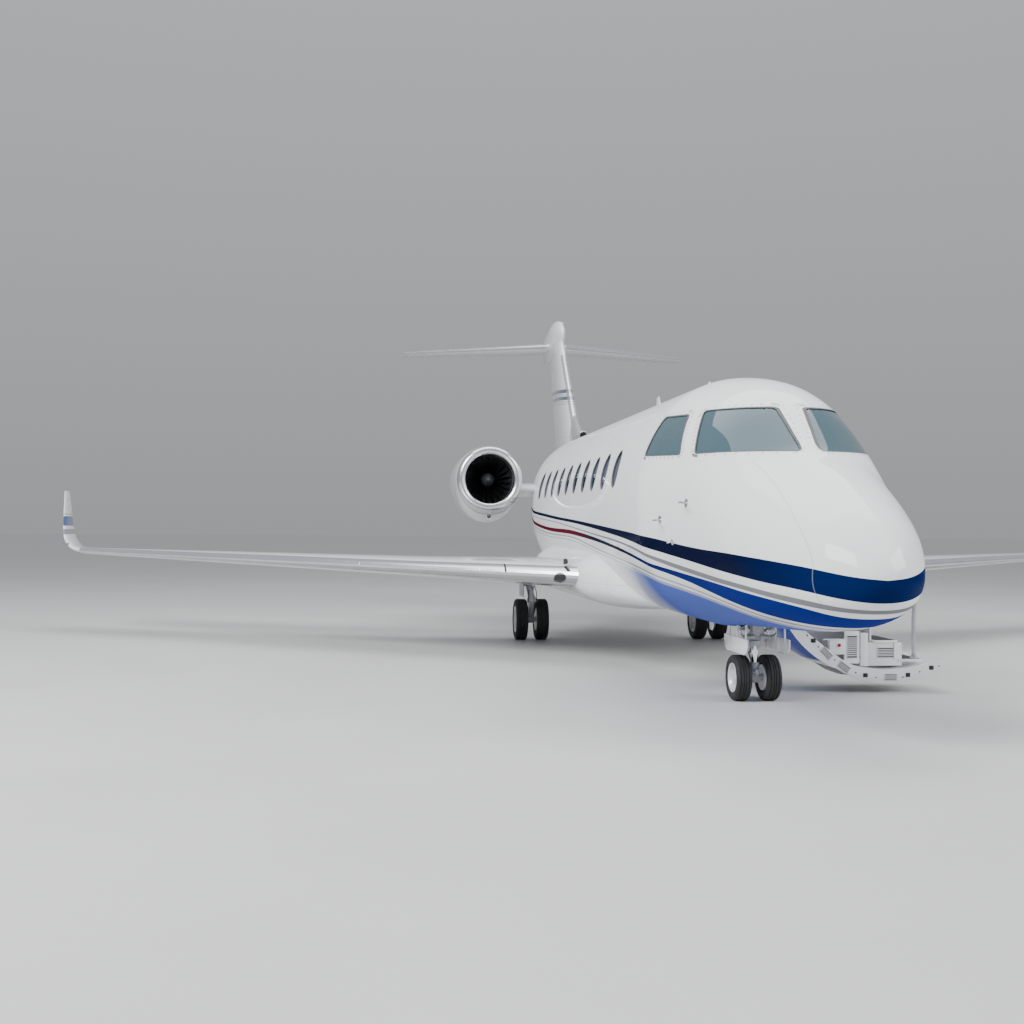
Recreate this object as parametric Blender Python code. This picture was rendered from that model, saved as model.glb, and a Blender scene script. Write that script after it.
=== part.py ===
"""Twin-engine business jet, parked on its gear with the entry stair down.

Metres, +Z up. The nose points to -Y, so port is +X and starboard is -X.
The origin is on the ground under the middle of the overall length and span.
Places along the aeroplane are stations: metres aft of the nose tip.
"""

import math

import bmesh
import bpy
from mathutils import Matrix, Vector

# Driving dimensions
OVERALL_LENGTH = 20.37
HALF_SPAN = 9.60
SEAT_GAP = 0.0003
MOVING_GAP = 0.010
END_GAP = 0.012
RIGHT, LEFT = -1, 1
SIDES = ((RIGHT, "right"), (LEFT, "left"))
ALONG = Vector((0, 1, 0))
ACROSS = Vector((1, 0, 0))

# Finishes: colour, roughness, metallic
WHITE = ((0.86, 0.87, 0.88), 0.18, 0.0)
GLASS = ((0.25, 0.32, 0.36), 0.05, 0.0)
TRIM = ((0.70, 0.70, 0.71), 0.5, 0.0)
LEATHER = ((0.62, 0.56, 0.48), 0.55, 0.0)
DARK = ((0.05, 0.05, 0.055), 0.5, 0.6)
STEEL = ((0.62, 0.63, 0.65), 0.3, 0.9)
TYRE = ((0.03, 0.03, 0.032), 0.8, 0.0)

# Fuselage sections, split where the real panels meet
HULL_SIDES = 28
HULL_ROUND = 0.93
RADOME_END = 0.85
CAVITY_START = 1.70
AIR_START = 1.74
COCKPIT_END = 3.86
CABIN_END = 12.20
TAIL_CONE_START = 17.30
TAIL_CONE_END = 18.45
CABIN_WALL = 0.09
TAIL_WALL = 0.04
LINER_THICK = 0.025
FLOOR_START, FLOOR_END = 2.40, 12.00
FLOOR_TOP = 1.50
FLOOR_THICK = 0.04

# Hull outline: station, half width, lowest z, z of the widest line, highest z
HULL = (
    (0.00, 0.10, 1.36, 1.44, 1.52),
    (0.12, 0.27, 1.22, 1.44, 1.72),
    (0.40, 0.50, 1.08, 1.47, 1.98),
    (0.85, 0.695, 0.98, 1.54, 2.215),
    (1.35, 0.825, 0.925, 1.65, 2.44),
    (1.74, 0.895, 0.90, 1.76, 2.62),
    (2.05, 0.94, 0.885, 1.85, 2.86),
    (2.40, 0.985, 0.87, 1.94, 3.13),
    (2.85, 1.05, 0.845, 2.03, 3.35),
    (3.30, 1.13, 0.81, 2.09, 3.47),
    (3.86, 1.22, 0.77, 2.12, 3.54),
    (12.20, 1.22, 0.77, 2.12, 3.54),
    (13.20, 1.15, 0.93, 2.20, 3.54),
    (14.60, 0.97, 1.30, 2.35, 3.50),
    (16.00, 0.71, 1.75, 2.52, 3.40),
    (17.30, 0.46, 2.12, 2.68, 3.26),
    (18.45, 0.22, 2.42, 2.78, 3.10),
)

# Belly fairing: station, half width, lowest z, highest z
FAIRING_ROUND = 0.72
FAIRING_SIDES = 24
FAIRING = (
    (5.40, 0.40, 0.81, 1.05),
    (6.20, 1.08, 0.75, 1.46),
    (7.00, 1.34, 0.73, 1.62),
    (10.60, 1.38, 0.73, 1.66),
    (11.60, 1.30, 0.75, 1.62),
    (12.40, 1.08, 0.81, 1.58),
    (13.40, 0.58, 1.04, 1.40),
)

# Cockpit glass corners on the port side: x, station, z
WINDSHIELD = ((0.09, 1.74, 2.61), (0.89, 2.60, 2.63), (0.71, 2.93, 3.09), (0.12, 2.34, 3.07))
SIDE_WINDOW = ((0.97, 2.90, 2.63), (1.12, 3.78, 2.66), (0.93, 3.70, 3.08), (0.81, 3.17, 3.06))
PANE_CORNER = 0.05
GLASS_DEPTH = 0.012
GLASS_THICK = 0.028

# Cabin windows
WINDOW_COUNT = 10
WINDOW_FIRST = 5.25
WINDOW_PITCH = 0.731
WINDOW_Z = 2.58
WINDOW_HALF_LENGTH = 0.165
WINDOW_HALF_HEIGHT = 0.225
WINDOW_SIDES = 10

# Entry door and its stair: hull angles are measured up from the widest line
DOOR_START = 3.90
DOOR_END = 4.74
DOOR_LOW_ANGLE = math.radians(-68)
DOOR_HIGH_ANGLE = math.radians(26)
DOOR_OPEN = math.radians(88)
DOOR_THICK = 0.10
DOOR_STEPS = 9
DOOR_ROD = 0.012
STEP_COUNT = 5
STEP_X, STEP_Z = 0.86, 1.24
STEP_RUN, STEP_DROP = 0.29, 0.215
STEP_THICK = 0.035
WELL_X = 0.18
DOOR_SILL = 0.022
WALL_RADIUS = 1.30

# Wing sections: x, leading edge station, chord, z, thickness, cant in degrees
WING = (
    (1.00, 6.71, 4.25, 1.20, 0.445, 0),
    (3.40, 8.36, 2.86, 1.26, 0.30, 0),
    (9.05, 12.22, 1.02, 1.40, 0.105, 6),
    (9.27, 12.40, 0.97, 1.45, 0.085, 30),
    (9.42, 12.55, 0.88, 1.60, 0.070, 62),
    (9.49, 12.74, 0.76, 1.80, 0.058, 78),
    (HALF_SPAN - 0.015, 13.20, 0.36, 2.45, 0.030, 80),
)
CHORD_STATIONS = (0.0, 0.02, 0.08, 0.2, 0.4, 0.6, 0.8, 1.0)
WING_HINGE = 0.77
NOSE_SHARE = 1.15
PIN_RADIUS = 0.010
INBOARD_FLAP = (2.05, 3.36)
OUTBOARD_FLAP = (3.56, 6.35)
AILERON = (6.50, 8.75)
SPOILER = (3.75, 6.20)
SPOILER_CHORD = (0.62, 0.705)
SPOILER_THICK = 0.022
SPOILER_PIN_DEPTH = 0.006

# Fin and tailplane sections: distance along the span, leading edge station, chord, thickness
FIN = ((3.05, 14.28, 3.37, 0.36), (6.05, 17.18, 1.79, 0.20))
TAILPLANE = ((0.00, 17.75, 1.75, 0.19), (3.41, 19.45, 0.92, 0.09))
TAILPLANE_Z = 5.95
TAIL_HINGE = 0.72
RUDDER = (4.05, 5.35)
ELEVATOR = (0.36, 3.22)

# Tail bullet: station, half width, z of the centre, half height
BULLET_SIDES = 12
BULLET = (
    (16.95, 0.02, 6.12, 0.04),
    (17.18, 0.10, 6.13, 0.22),
    (17.55, 0.16, 6.12, 0.35),
    (17.90, 0.18, 6.10, 0.40),
    (18.60, 0.18, 6.03, 0.36),
    (19.30, 0.13, 5.97, 0.26),
    (19.90, 0.07, 5.95, 0.14),
    (20.25, 0.02, 5.95, 0.04),
)

# Engines
ENGINE_X = 2.00
ENGINE_Z = 2.73
ENGINE_SIDES = 24
FAN_FACE = 13.02
FAN_DEPTH = 0.09
DUCT_RADIUS = 0.455
FAN_RADIUS = 0.440
FAN_HUB = 0.13
BLADE_COUNT = 16

# Nacelle skin: station, outer radius, share by which the underside hangs lower
NACELLE = (
    (12.56, 0.53, 0.00),
    (12.60, 0.585, 0.02),
    (12.75, 0.625, 0.05),
    (13.30, 0.665, 0.13),
    (14.30, 0.67, 0.16),
    (15.10, 0.60, 0.10),
    (15.75, 0.48, 0.03),
    (16.05, 0.40, 0.00),
)
# Nacelle duct, from the nozzle forward, and the engine in it: station, radius
DUCT = ((16.05, 0.375), (15.40, DUCT_RADIUS), (12.85, DUCT_RADIUS), (12.60, 0.48))
CORE = (
    (FAN_FACE + FAN_DEPTH + 0.02, 0.20),
    (13.40, DUCT_RADIUS - SEAT_GAP),
    (15.20, DUCT_RADIUS - SEAT_GAP),
    (15.30, 0.26),
    (16.15, 0.05),
)

# Landing gear
WHEEL_SIDES = 20
FLAT = math.cos(math.pi / WHEEL_SIDES)
NOSE_LEG = 3.42
NOSE_AXLE = 3.46
NOSE_WHEEL_X = 0.165
NOSE_TYRE_RADIUS = 0.25
MAIN_AXLE = 10.64
MAIN_GEAR_X = 1.50
MAIN_WHEEL_X = 0.17
MAIN_TYRE_RADIUS = 0.34
TRUNNION_Z = 1.02
EYE_HALF = 0.045
BAY_HALF_WIDTH = 0.21
BAY_START, BAY_END = 2.95, 3.78
BAY_TOP = 1.24
BAY_WALL = 0.03


# Helpers
def at(x, s, z):
    """A point at a station."""
    return Vector((x, s - OVERALL_LENGTH / 2, z))


def paint(made, finish):
    """Gives a piece a material of its own."""
    colour, roughness, metallic = finish
    material = bpy.data.materials.new(made.name + "_finish")
    material.use_nodes = True
    shader = material.node_tree.nodes["Principled BSDF"]
    shader.inputs["Base Color"].default_value = (*colour, 1)
    shader.inputs["Roughness"].default_value = roughness
    shader.inputs["Metallic"].default_value = metallic
    made.data.materials.append(material)


def publish(name, bm, finish):
    """Makes an object of a bmesh: a piece if it has a finish, or else a guide."""
    bmesh.ops.recalc_face_normals(bm, faces=bm.faces)
    mesh = bpy.data.meshes.new(name)
    bm.to_mesh(mesh)
    bm.free()
    mesh.shade_smooth()
    mesh.set_sharp_from_angle(angle=math.radians(35))
    made = bpy.data.objects.new(name, mesh)
    bpy.context.scene.collection.objects.link(made)
    if finish:
        paint(made, finish)
    else:
        made.hide_render = True
        made.display_type = "WIRE"
    return made


def combine(made, operation, others):
    for other in others:
        modifier = made.modifiers.new(operation.title() + " " + other.name, "BOOLEAN")
        modifier.operation = operation
        modifier.solver = "EXACT"
        modifier.object = other
    return made


def cut(made, *cutters):
    return combine(made, "DIFFERENCE", cutters)


def keep_inside(made, *volumes):
    return combine(made, "INTERSECT", volumes)


def fuse(made, *others):
    return combine(made, "UNION", others)


def hinge_at(made, point):
    """Moves a piece's origin to a point on its joint's axis."""
    made.data.transform(Matrix.Translation(-point))
    made.location = point
    return made


def loft(name, rings, finish=None, ring_shaped=False):
    """Skins matching rings of points; a ring-shaped loft joins its last ring to its first."""
    bm = bmesh.new()
    loops = [[bm.verts.new(point) for point in ring] for ring in rings]
    pairs = list(zip(loops, loops[1:]))
    if ring_shaped:
        pairs.append((loops[-1], loops[0]))
    else:
        bm.faces.new(loops[0][::-1])
        bm.faces.new(loops[-1])
    for pair in pairs:
        # Both halves of each patch follow the same diagonal, so that nested lofts match
        first, second = sorted(pair, key=lambda ring: ring[0].co.y)
        count = len(first)
        for i in range(count):
            j = (i + 1) % count
            bm.faces.new((first[i], first[j], second[j]))
            bm.faces.new((first[i], second[j], second[i]))
    return publish(name, bm, finish)


def box(name, low, high, finish=None):
    """An upright block between two corners given as (x, station, z)."""
    low, high = at(*low), at(*high)
    bm = bmesh.new()
    bmesh.ops.create_cube(bm, size=1)
    size = Matrix.Diagonal(high - low).to_4x4()
    bmesh.ops.transform(bm, verts=bm.verts, matrix=Matrix.Translation((low + high) / 2) @ size)
    return publish(name, bm, finish)


def side_box(name, side, low, high, finish=None):
    """A block given for the port side and mirrored to starboard where asked."""
    low_x, high_x = sorted((side * low[0], side * high[0]))
    return box(name, (low_x, *low[1:]), (high_x, *high[1:]), finish)


def rod(name, start, end, radius, finish=None, sides=10):
    """A round bar between two points."""
    along = end - start
    bm = bmesh.new()
    bmesh.ops.create_cone(
        bm, cap_ends=True, segments=sides, radius1=radius, radius2=radius, depth=along.length
    )
    turn = Vector((0, 0, 1)).rotation_difference(along).to_matrix().to_4x4()
    bmesh.ops.transform(bm, verts=bm.verts, matrix=Matrix.Translation((start + end) / 2) @ turn)
    return publish(name, bm, finish)


def slab(name, outline, low_x, high_x, finish=None):
    """A side outline of (station, z) points, extruded across the aeroplane."""
    return loft(name, [[at(x, s, z) for s, z in outline] for x in (low_x, high_x)], finish)


def turned(centre, profile, along, sides):
    """Rings of a profile of (distance along the axis, radius)."""
    first = Vector((0, 0, 1)).cross(along)
    second = along.cross(first)
    rings = []
    for distance, radius in profile:
        ring = []
        for i in range(sides):
            angle = 2 * math.pi * (i + 0.5) / sides
            spoke = first * math.cos(angle) + second * math.sin(angle)
            ring.append(centre + along * distance + spoke * radius)
        rings.append(ring)
    return rings


def row_at(table, place):
    """A table's row at a place between its rows."""
    for low, high in zip(table, table[1:]):
        if place <= high[0]:
            break
    share = (place - low[0]) / (high[0] - low[0])
    return [a + (b - a) * share for a, b in zip(low, high)]


def squared(value, power):
    """A cosine or sine pushed outwards, which turns an ellipse into a fuller oval."""
    return math.copysign(abs(value) ** power, value)


# Hull geometry
def hull_point(s, angle, inset=0.0):
    half_width, low, wide, high = row_at(HULL, s)[1:]
    across, up = squared(math.cos(angle), HULL_ROUND), squared(math.sin(angle), HULL_ROUND)
    reach = high - wide if up > 0 else wide - low
    return at((half_width - inset) * across, s, wide + (reach - inset) * up)


def hull_rings(start, end, inset):
    inner = [row[0] for row in HULL if start + 0.01 < row[0] < end - 0.01]
    return [
        [hull_point(s, 2 * math.pi * i / HULL_SIDES, inset) for i in range(HULL_SIDES)]
        for s in (start, *inner, end)
    ]


def hull_volume(name, start, end, inset, finish=None):
    return loft(name, hull_rings(start, end, inset), finish)


def hull_cutter(name):
    """The whole hull, a seat gap larger, to part what stands on it."""
    return hull_volume(name, RADOME_END, TAIL_CONE_END, -SEAT_GAP)


def hull_tube(name, start, end, outer, inner, finish=None):
    rings = hull_rings(start, end, outer) + hull_rings(start, end, inner)[::-1]
    return loft(name, rings, finish, ring_shaped=True)


def cabin_air(name, wall=CABIN_WALL):
    """The space inside the cockpit and cabin walls, less the seat gap."""
    return hull_volume(name, AIR_START, FLOOR_END + 0.1, wall + SEAT_GAP)


# Windows
def window_prism(name, corners, side, grow):
    """A block through the hull behind a four-cornered window, its corners rounded."""
    points = [at(side * x, s, z) for x, s, z in corners]
    centre = sum(points, Vector()) / len(points)
    normal = (points[2] - points[0]).cross(points[3] - points[1]).normalized()
    points = [p + (p - centre).normalized() * grow for p in points]
    bm = bmesh.new()
    near = [bm.verts.new(p - normal * 0.3) for p in points]
    far = [bm.verts.new(p + normal * 0.3) for p in points]
    bm.faces.new(near[::-1])
    bm.faces.new(far)
    sides = []
    for i in range(len(points)):
        j = (i + 1) % len(points)
        bm.faces.new((near[i], near[j], far[j], far[i]))
        sides.append(bm.edges.get((near[i], far[i])))
    bmesh.ops.bevel(
        bm, geom=sides, offset=PANE_CORNER + grow, segments=2, affect="EDGES", profile=0.5
    )
    return publish(name, bm, None)


def oval_prisms(name, side, first, grow):
    """Oval blocks through one cabin wall, one for each window."""
    bm = bmesh.new()
    for number in range(first, WINDOW_COUNT):
        s = WINDOW_FIRST + WINDOW_PITCH * number
        loops = []
        for x in (0.75 * side, 1.5 * side):
            loop = []
            for i in range(WINDOW_SIDES):
                angle = 2 * math.pi * i / WINDOW_SIDES
                along = (WINDOW_HALF_LENGTH + grow) * math.cos(angle)
                up = (WINDOW_HALF_HEIGHT + grow) * math.sin(angle)
                loop.append(bm.verts.new(at(x, s + along, WINDOW_Z + up)))
            loops.append(loop)
        for i in range(WINDOW_SIDES):
            j = (i + 1) % WINDOW_SIDES
            bm.faces.new((loops[0][i], loops[0][j], loops[1][j], loops[1][i]))
        bm.faces.new(loops[0][::-1])
        bm.faces.new(loops[1])
    return publish(name, bm, None)


# Fuselage
def build_cockpit():
    hull_volume("radome", 0, RADOME_END, 0, WHITE)
    outside = hull_rings(RADOME_END + SEAT_GAP, COCKPIT_END, 0)
    inside = hull_rings(CAVITY_START, COCKPIT_END, CABIN_WALL)
    cockpit = loft("cockpit_section", outside + inside[::-1], WHITE)
    for side, word in SIDES:
        for corners, what in ((WINDSHIELD, "windshield"), (SIDE_WINDOW, "side_window")):
            cut(cockpit, window_prism(f"cut_{what}_{word}", corners, side, 0))
            pane = hull_tube(
                f"{what}_{word}", 1.5, COCKPIT_END - 0.03, GLASS_DEPTH,
                GLASS_DEPTH + GLASS_THICK, GLASS,
            )
            keep_inside(pane, window_prism(f"form_{what}_{word}", corners, side, -SEAT_GAP))
    cut(cockpit, bay_box("cut_nose_bay", BAY_WALL + SEAT_GAP, BAY_TOP - 0.1))


def build_cabin():
    cabin = hull_tube("cabin_section", COCKPIT_END + SEAT_GAP, CABIN_END, 0, CABIN_WALL, WHITE)
    for side, word in SIDES:
        # The entry door takes the place of the first port window
        first = 0 if side == RIGHT else 1
        cut(cabin, oval_prisms(f"cut_windows_{word}", side, first, 0))
        panes = hull_tube(
            f"cabin_windows_{word}", WINDOW_FIRST - 0.3, CABIN_END - 0.05, GLASS_DEPTH,
            CABIN_WALL + 0.01, GLASS,
        )
        keep_inside(panes, oval_prisms(f"form_windows_{word}", side, first, -SEAT_GAP))
        liner = hull_tube(
            f"liner_{word}", WINDOW_FIRST - 0.3 + WINDOW_PITCH * first, CABIN_END - 0.08,
            CABIN_WALL + SEAT_GAP, CABIN_WALL + LINER_THICK,
        )
        zone = side_box(
            f"liner_zone_{word}", side, (0.8, COCKPIT_END, WINDOW_Z - 0.3),
            (1.4, CABIN_END, WINDOW_Z + 0.3),
        )
        fuse(panes, keep_inside(liner, zone))
    cut(cabin, door_block("cut_door", 0.0, CABIN_WALL + 0.06, -0.06, DOOR_SILL))


def build_tail_fuselage():
    hull_tube("aft_section", CABIN_END + SEAT_GAP, TAIL_CONE_START, 0, TAIL_WALL, WHITE)
    cone = hull_volume("tail_cone", TAIL_CONE_START + SEAT_GAP, TAIL_CONE_END, 0, WHITE)
    cut(cone, rod("cut_exhaust", at(0, 18.1, 2.76), at(0, 18.8, 2.76), 0.12))


def fairing_volume(name, grow, finish=None):
    rings = []
    for s, half_width, low, high in FAIRING:
        middle, half_height = (low + high) / 2, (high - low) / 2
        ring = []
        for i in range(FAIRING_SIDES):
            angle = 2 * math.pi * i / FAIRING_SIDES
            x = (half_width + grow) * squared(math.cos(angle), FAIRING_ROUND)
            z = middle + (half_height + grow) * squared(math.sin(angle), FAIRING_ROUND)
            ring.append(at(x, s, z))
        rings.append(ring)
    return loft(name, rings, finish)


def build_fairing():
    fairing = fairing_volume("wing_body_fairing", 0, WHITE)
    cut(fairing, hull_cutter("cut_fairing"))


# Entry door
def door_block(name, gap, inner, outer, sill, turn=None, finish=None):
    """The part of the port wall that the entry door takes, less a gap all round."""
    low, high = DOOR_LOW_ANGLE - sill / WALL_RADIUS, DOOR_HIGH_ANGLE
    rings = []
    for s in (DOOR_START + gap, DOOR_END - gap):
        ring = []
        for inset, order in (
            (outer, range(DOOR_STEPS + 1)), (inner, range(DOOR_STEPS, -1, -1)),
        ):
            for i in order:
                share = i / DOOR_STEPS
                angle = low + (high - low) * share + (gap / WALL_RADIUS) * (1 - 2 * share)
                ring.append(hull_point(s, angle, inset))
        rings.append(ring)
    if turn:
        rings = [[turn @ point for point in ring] for ring in rings]
    return loft(name, rings, finish)


def build_entry_stair():
    axis = hull_point(DOOR_START, DOOR_LOW_ANGLE, -0.004)
    turn = (
        Matrix.Translation(axis)
        @ Matrix.Rotation(DOOR_OPEN, 4, "Y")
        @ Matrix.Translation(-axis)
    )
    door = door_block("airstair_door", MOVING_GAP, DOOR_THICK, 0.0, 0.0, turn, WHITE)
    parts = []
    for i in range(STEP_COUNT):
        x, z = STEP_X + STEP_RUN * i, STEP_Z - STEP_DROP * i
        parts.append(box(
            f"tread_{i}", (x - 0.14, DOOR_START + 0.09, z - STEP_THICK),
            (x + 0.14, DOOR_END - 0.09, z),
        ))
    # Side plates that carry the treads: x, z
    side_plate = (
        (0.66, 1.24), (0.78, 1.27), (1.02, 1.20), (2.10, 0.42), (2.24, 0.36),
        (2.10, 0.27), (1.70, 0.19), (1.20, 0.26), (0.86, 0.48), (0.66, 0.78),
    )
    for s, word in ((DOOR_START + 0.06, "front"), (DOOR_END - 0.095, "rear")):
        rings = [[at(x, y, z) for x, z in side_plate] for y in (s, s + 0.035)]
        parts.append(loft(f"side_plate_{word}", rings))
    reach = DOOR_END - DOOR_START - SEAT_GAP
    parts.append(rod("door_pin", axis + ALONG * SEAT_GAP, axis + ALONG * reach, DOOR_ROD))
    fuse(door, *parts)
    hinge_at(door, axis)

    step = (STEP_X + STEP_RUN * (STEP_COUNT - 1), STEP_Z - STEP_DROP * (STEP_COUNT - 1))
    foot = at(step[0] + 0.04, DOOR_START + 0.13, step[1] + SEAT_GAP)
    top = foot + Vector((0, 0, 0.84))
    rail = rod("stair_handrail", foot, top, 0.018, STEEL, sides=8)
    fuse(rail, rod("rail_bend", top + Vector((0.02, 0, -0.02)),
                   top + Vector((-0.42, 0, 0.22)), 0.016, sides=8))
    hinge_at(rail, axis)


# Cabin interior
def build_interior():
    floor = box(
        "cabin_floor", (-1.4, FLOOR_START, FLOOR_TOP - FLOOR_THICK), (1.4, FLOOR_END, FLOOR_TOP),
        TRIM,
    )
    keep_inside(floor, cabin_air("floor_room"))
    cut(floor, box("cut_stair_well", (WELL_X, DOOR_START - 0.03, 1), (1.5, DOOR_END + 0.03, 2)))

    standing = FLOOR_TOP + SEAT_GAP
    for name, start, end, lining in (
        ("cockpit_partition", 3.80, 3.84, 0),
        ("aft_partition", 10.70, 10.74, LINER_THICK),
    ):
        wall = box(name, (-1.4, start, standing), (1.4, end, 3.6), TRIM)
        keep_inside(wall, cabin_air(f"{name}_room", CABIN_WALL + lining))
        cut(wall, box(f"{name}_doorway", (-0.32, start - 0.1, 1), (0.32, end + 0.1, 3.25)))
    galley = box("galley_cabinet", (-1.4, 3.95, standing), (-0.42, 4.80, 3.6), TRIM)
    keep_inside(galley, cabin_air("galley_room"))

    # Seat side outline, facing forward: distance aft, height above the floor
    seat = (
        (-0.28, 0.14), (-0.28, 0.24), (0.16, 0.22), (0.34, 0.94), (0.48, 0.92),
        (0.34, 0.12), (0.20, 0.02), (-0.18, 0.02),
    )
    for side, word in SIDES:
        row = side_box(
            f"cabin_seats_{word}", side, (0.60, 5.20, standing), (0.72, 9.95, standing + 0.04),
            LEATHER,
        )
        for s, facing in ((5.60, -1), (6.95, 1), (8.15, -1), (9.50, 1)):
            outline = [(s + facing * along, standing + up) for along, up in seat]
            low_x, high_x = sorted((side * 0.38, side * 0.92))
            fuse(row, slab(f"seat_{word}_{s:.2f}", outline, low_x, high_x))
        low_x, high_x = sorted((side * 0.28, side * 0.74))
        outline = [(3.18 + along, standing - 0.02 + up) for along, up in seat]
        slab(f"pilot_seat_{word}", outline, low_x, high_x, LEATHER)
    # Instrument panel and glareshield side outline: station, z
    panel = ((2.05, standing), (2.42, standing), (2.42, 2.00), (2.36, 2.58), (2.02, 2.56),
             (1.86, 2.30), (1.90, 1.90))
    face = slab("instrument_panel", panel, -0.80, 0.80, DARK)
    keep_inside(face, cabin_air("panel_room"))


# Wings and tail surfaces
def aerofoil(chord, thickness):
    """A streamlined section as (distance aft, height) points, over the top and back below."""
    def half(share):
        return 5 * thickness * (
            0.2969 * math.sqrt(share) - 0.126 * share - 0.3516 * share ** 2
            + 0.2843 * share ** 3 - 0.1015 * share ** 4
        )
    top = [(share * chord, half(share)) for share in CHORD_STATIONS]
    return top + [(along, -height) for along, height in top[:0:-1]]


def wing_volume(name, side, grow=0.0, finish=None):
    rings = []
    for x, edge, chord, z, thickness, cant in WING:
        lean, rise = math.sin(math.radians(cant)), math.cos(math.radians(cant))
        rings.append([
            at(side * (x - up * lean), edge - grow + along, z + up * rise)
            for along, up in aerofoil(chord + 2 * grow, thickness + 2 * grow)
        ])
    return loft(name, rings, finish)


def tailplane_volume(name, finish=None):
    outer = TAILPLANE[1]
    rings = []
    for x, edge, chord, thickness in ((-outer[0], *outer[1:]), TAILPLANE[0], outer):
        rings.append([
            at(x, edge + along, TAILPLANE_Z + up) for along, up in aerofoil(chord, thickness)
        ])
    return loft(name, rings, finish)


def fin_volume(name, finish=None):
    rings = []
    for z, edge, chord, thickness in FIN:
        rings.append([at(across, edge + along, z) for along, across in aerofoil(chord, thickness)])
    return loft(name, rings, finish)


def bullet_volume(name, grow):
    rings = []
    for s, half_width, z, half_height in BULLET:
        ring = []
        for i in range(BULLET_SIDES):
            angle = 2 * math.pi * i / BULLET_SIDES
            x = (half_width + grow) * math.cos(angle)
            ring.append(at(x, s, z + (half_height + grow) * math.sin(angle)))
        rings.append(ring)
    return loft(name, rings)


def hinge_ends(span, point_of):
    """Both ends of a control surface's hinge line, with the nose radius at each."""
    ends = []
    for place in span:
        point, thickness = point_of(place)
        ends.append((point, 0.5 * thickness * NOSE_SHARE))
    return ends


def surface_block(name, ends, reach, grow):
    """A block behind a hinge line, with a round nose about that line."""
    (start, start_radius), (end, end_radius) = ends
    axis = (end - start).normalized()
    aft = (ALONG - axis * axis.dot(ALONG)).normalized()
    up = axis.cross(aft)
    end_gap = END_GAP if grow else 0
    rings = []
    for point, radius in (
        (start - axis * end_gap, start_radius + grow), (end + axis * end_gap, end_radius + grow),
    ):
        ring = [point + aft * reach + up * radius]
        for i in range(9):
            angle = math.pi / 2 + math.pi * i / 8
            ring.append(point + (aft * math.cos(angle) + up * math.sin(angle)) * radius)
        ring.append(point + aft * reach - up * radius)
        rings.append(ring)
    return loft(name, rings)


def hinge_pin(name, ends, radius):
    (start, _), (end, _) = ends
    axis = (end - start).normalized()
    beyond = END_GAP - SEAT_GAP
    return rod(name, start - axis * beyond, end + axis * beyond, radius, sides=8)


def control_surface(name, whole, fixed, ends, reach):
    """Parts a hinged surface from what carries it: a round nose in a hollow, on a pin."""
    keep_inside(whole, surface_block(f"form_{name}", ends, reach, 0))
    fuse(whole, hinge_pin(f"pin_{name}", ends, PIN_RADIUS))
    cut(fixed, surface_block(f"cut_{name}", ends, reach, MOVING_GAP))
    hinge_at(whole, ends[0][0])


def wing_point(side, share, x):
    """A point of the chord plane and the wing's thickness there."""
    _, edge, chord, z, thickness, _ = row_at(WING, x)
    top = aerofoil_height(share, thickness)
    return at(side * x, edge + share * chord, z), 2 * top


def aerofoil_height(share, thickness):
    """Half the thickness of the faceted section at a share of its chord."""
    table = [(along, up) for along, up in aerofoil(1, thickness)[:len(CHORD_STATIONS)]]
    return row_at(table, share)[1]


def build_wing(side, word):
    wing = wing_volume(f"wing_{word}", side, 0, WHITE)
    cut(wing, fairing_volume(f"cut_root_{word}", SEAT_GAP))
    trunnion = side_box(
        f"trunnion_{word}", side, (1.42, 10.25, TRUNNION_Z), (1.72, 10.62, 1.20)
    )
    fuse(wing, trunnion)
    for what, span in (
        ("flap_inboard", INBOARD_FLAP), ("flap_outboard", OUTBOARD_FLAP), ("aileron", AILERON),
    ):
        name = f"{what}_{word}"
        ends = hinge_ends(span, lambda x: wing_point(side, WING_HINGE, x))
        control_surface(name, wing_volume(name, side, 0, WHITE), wing, ends, 1.3)
    build_spoiler(side, word, wing)


def spoiler_plate(name, side, top, bottom, front, rear, end_gap, finish=None):
    """A plate let into the wing's upper skin between two places along the span."""
    rings = []
    for level in (top, bottom):
        ring = []
        for x, share, aft, out in (
            (SPOILER[0], SPOILER_CHORD[0], -front, -end_gap),
            (SPOILER[1], SPOILER_CHORD[0], -front, end_gap),
            (SPOILER[1], SPOILER_CHORD[1], rear, end_gap),
            (SPOILER[0], SPOILER_CHORD[1], rear, -end_gap),
        ):
            point, thickness = wing_point(side, share, x)
            ring.append(point + Vector((side * out, aft, thickness / 2 + level)))
        rings.append(ring)
    return loft(name, rings, finish)


def build_spoiler(side, word, wing):
    name = f"spoiler_{word}"
    plate = spoiler_plate(name, side, 0, -SPOILER_THICK, 0, 0, 0, WHITE)
    recess = spoiler_plate(f"cut_{name}", side, 0.05, -0.032, 0.012, 0.010, END_GAP)
    cut(wing, recess)
    ends = []
    for x in SPOILER:
        point, thickness = wing_point(side, SPOILER_CHORD[0], x)
        ends.append((point + Vector((0, 0, thickness / 2 - SPOILER_PIN_DEPTH)), 0))
    pin_reach = END_GAP - 0.001
    axis = (ends[1][0] - ends[0][0]).normalized()
    fuse(plate, rod(
        f"pin_{name}", ends[0][0] - axis * pin_reach, ends[1][0] + axis * pin_reach, 0.005,
        sides=6,
    ))
    hinge_at(plate, ends[0][0])


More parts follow.
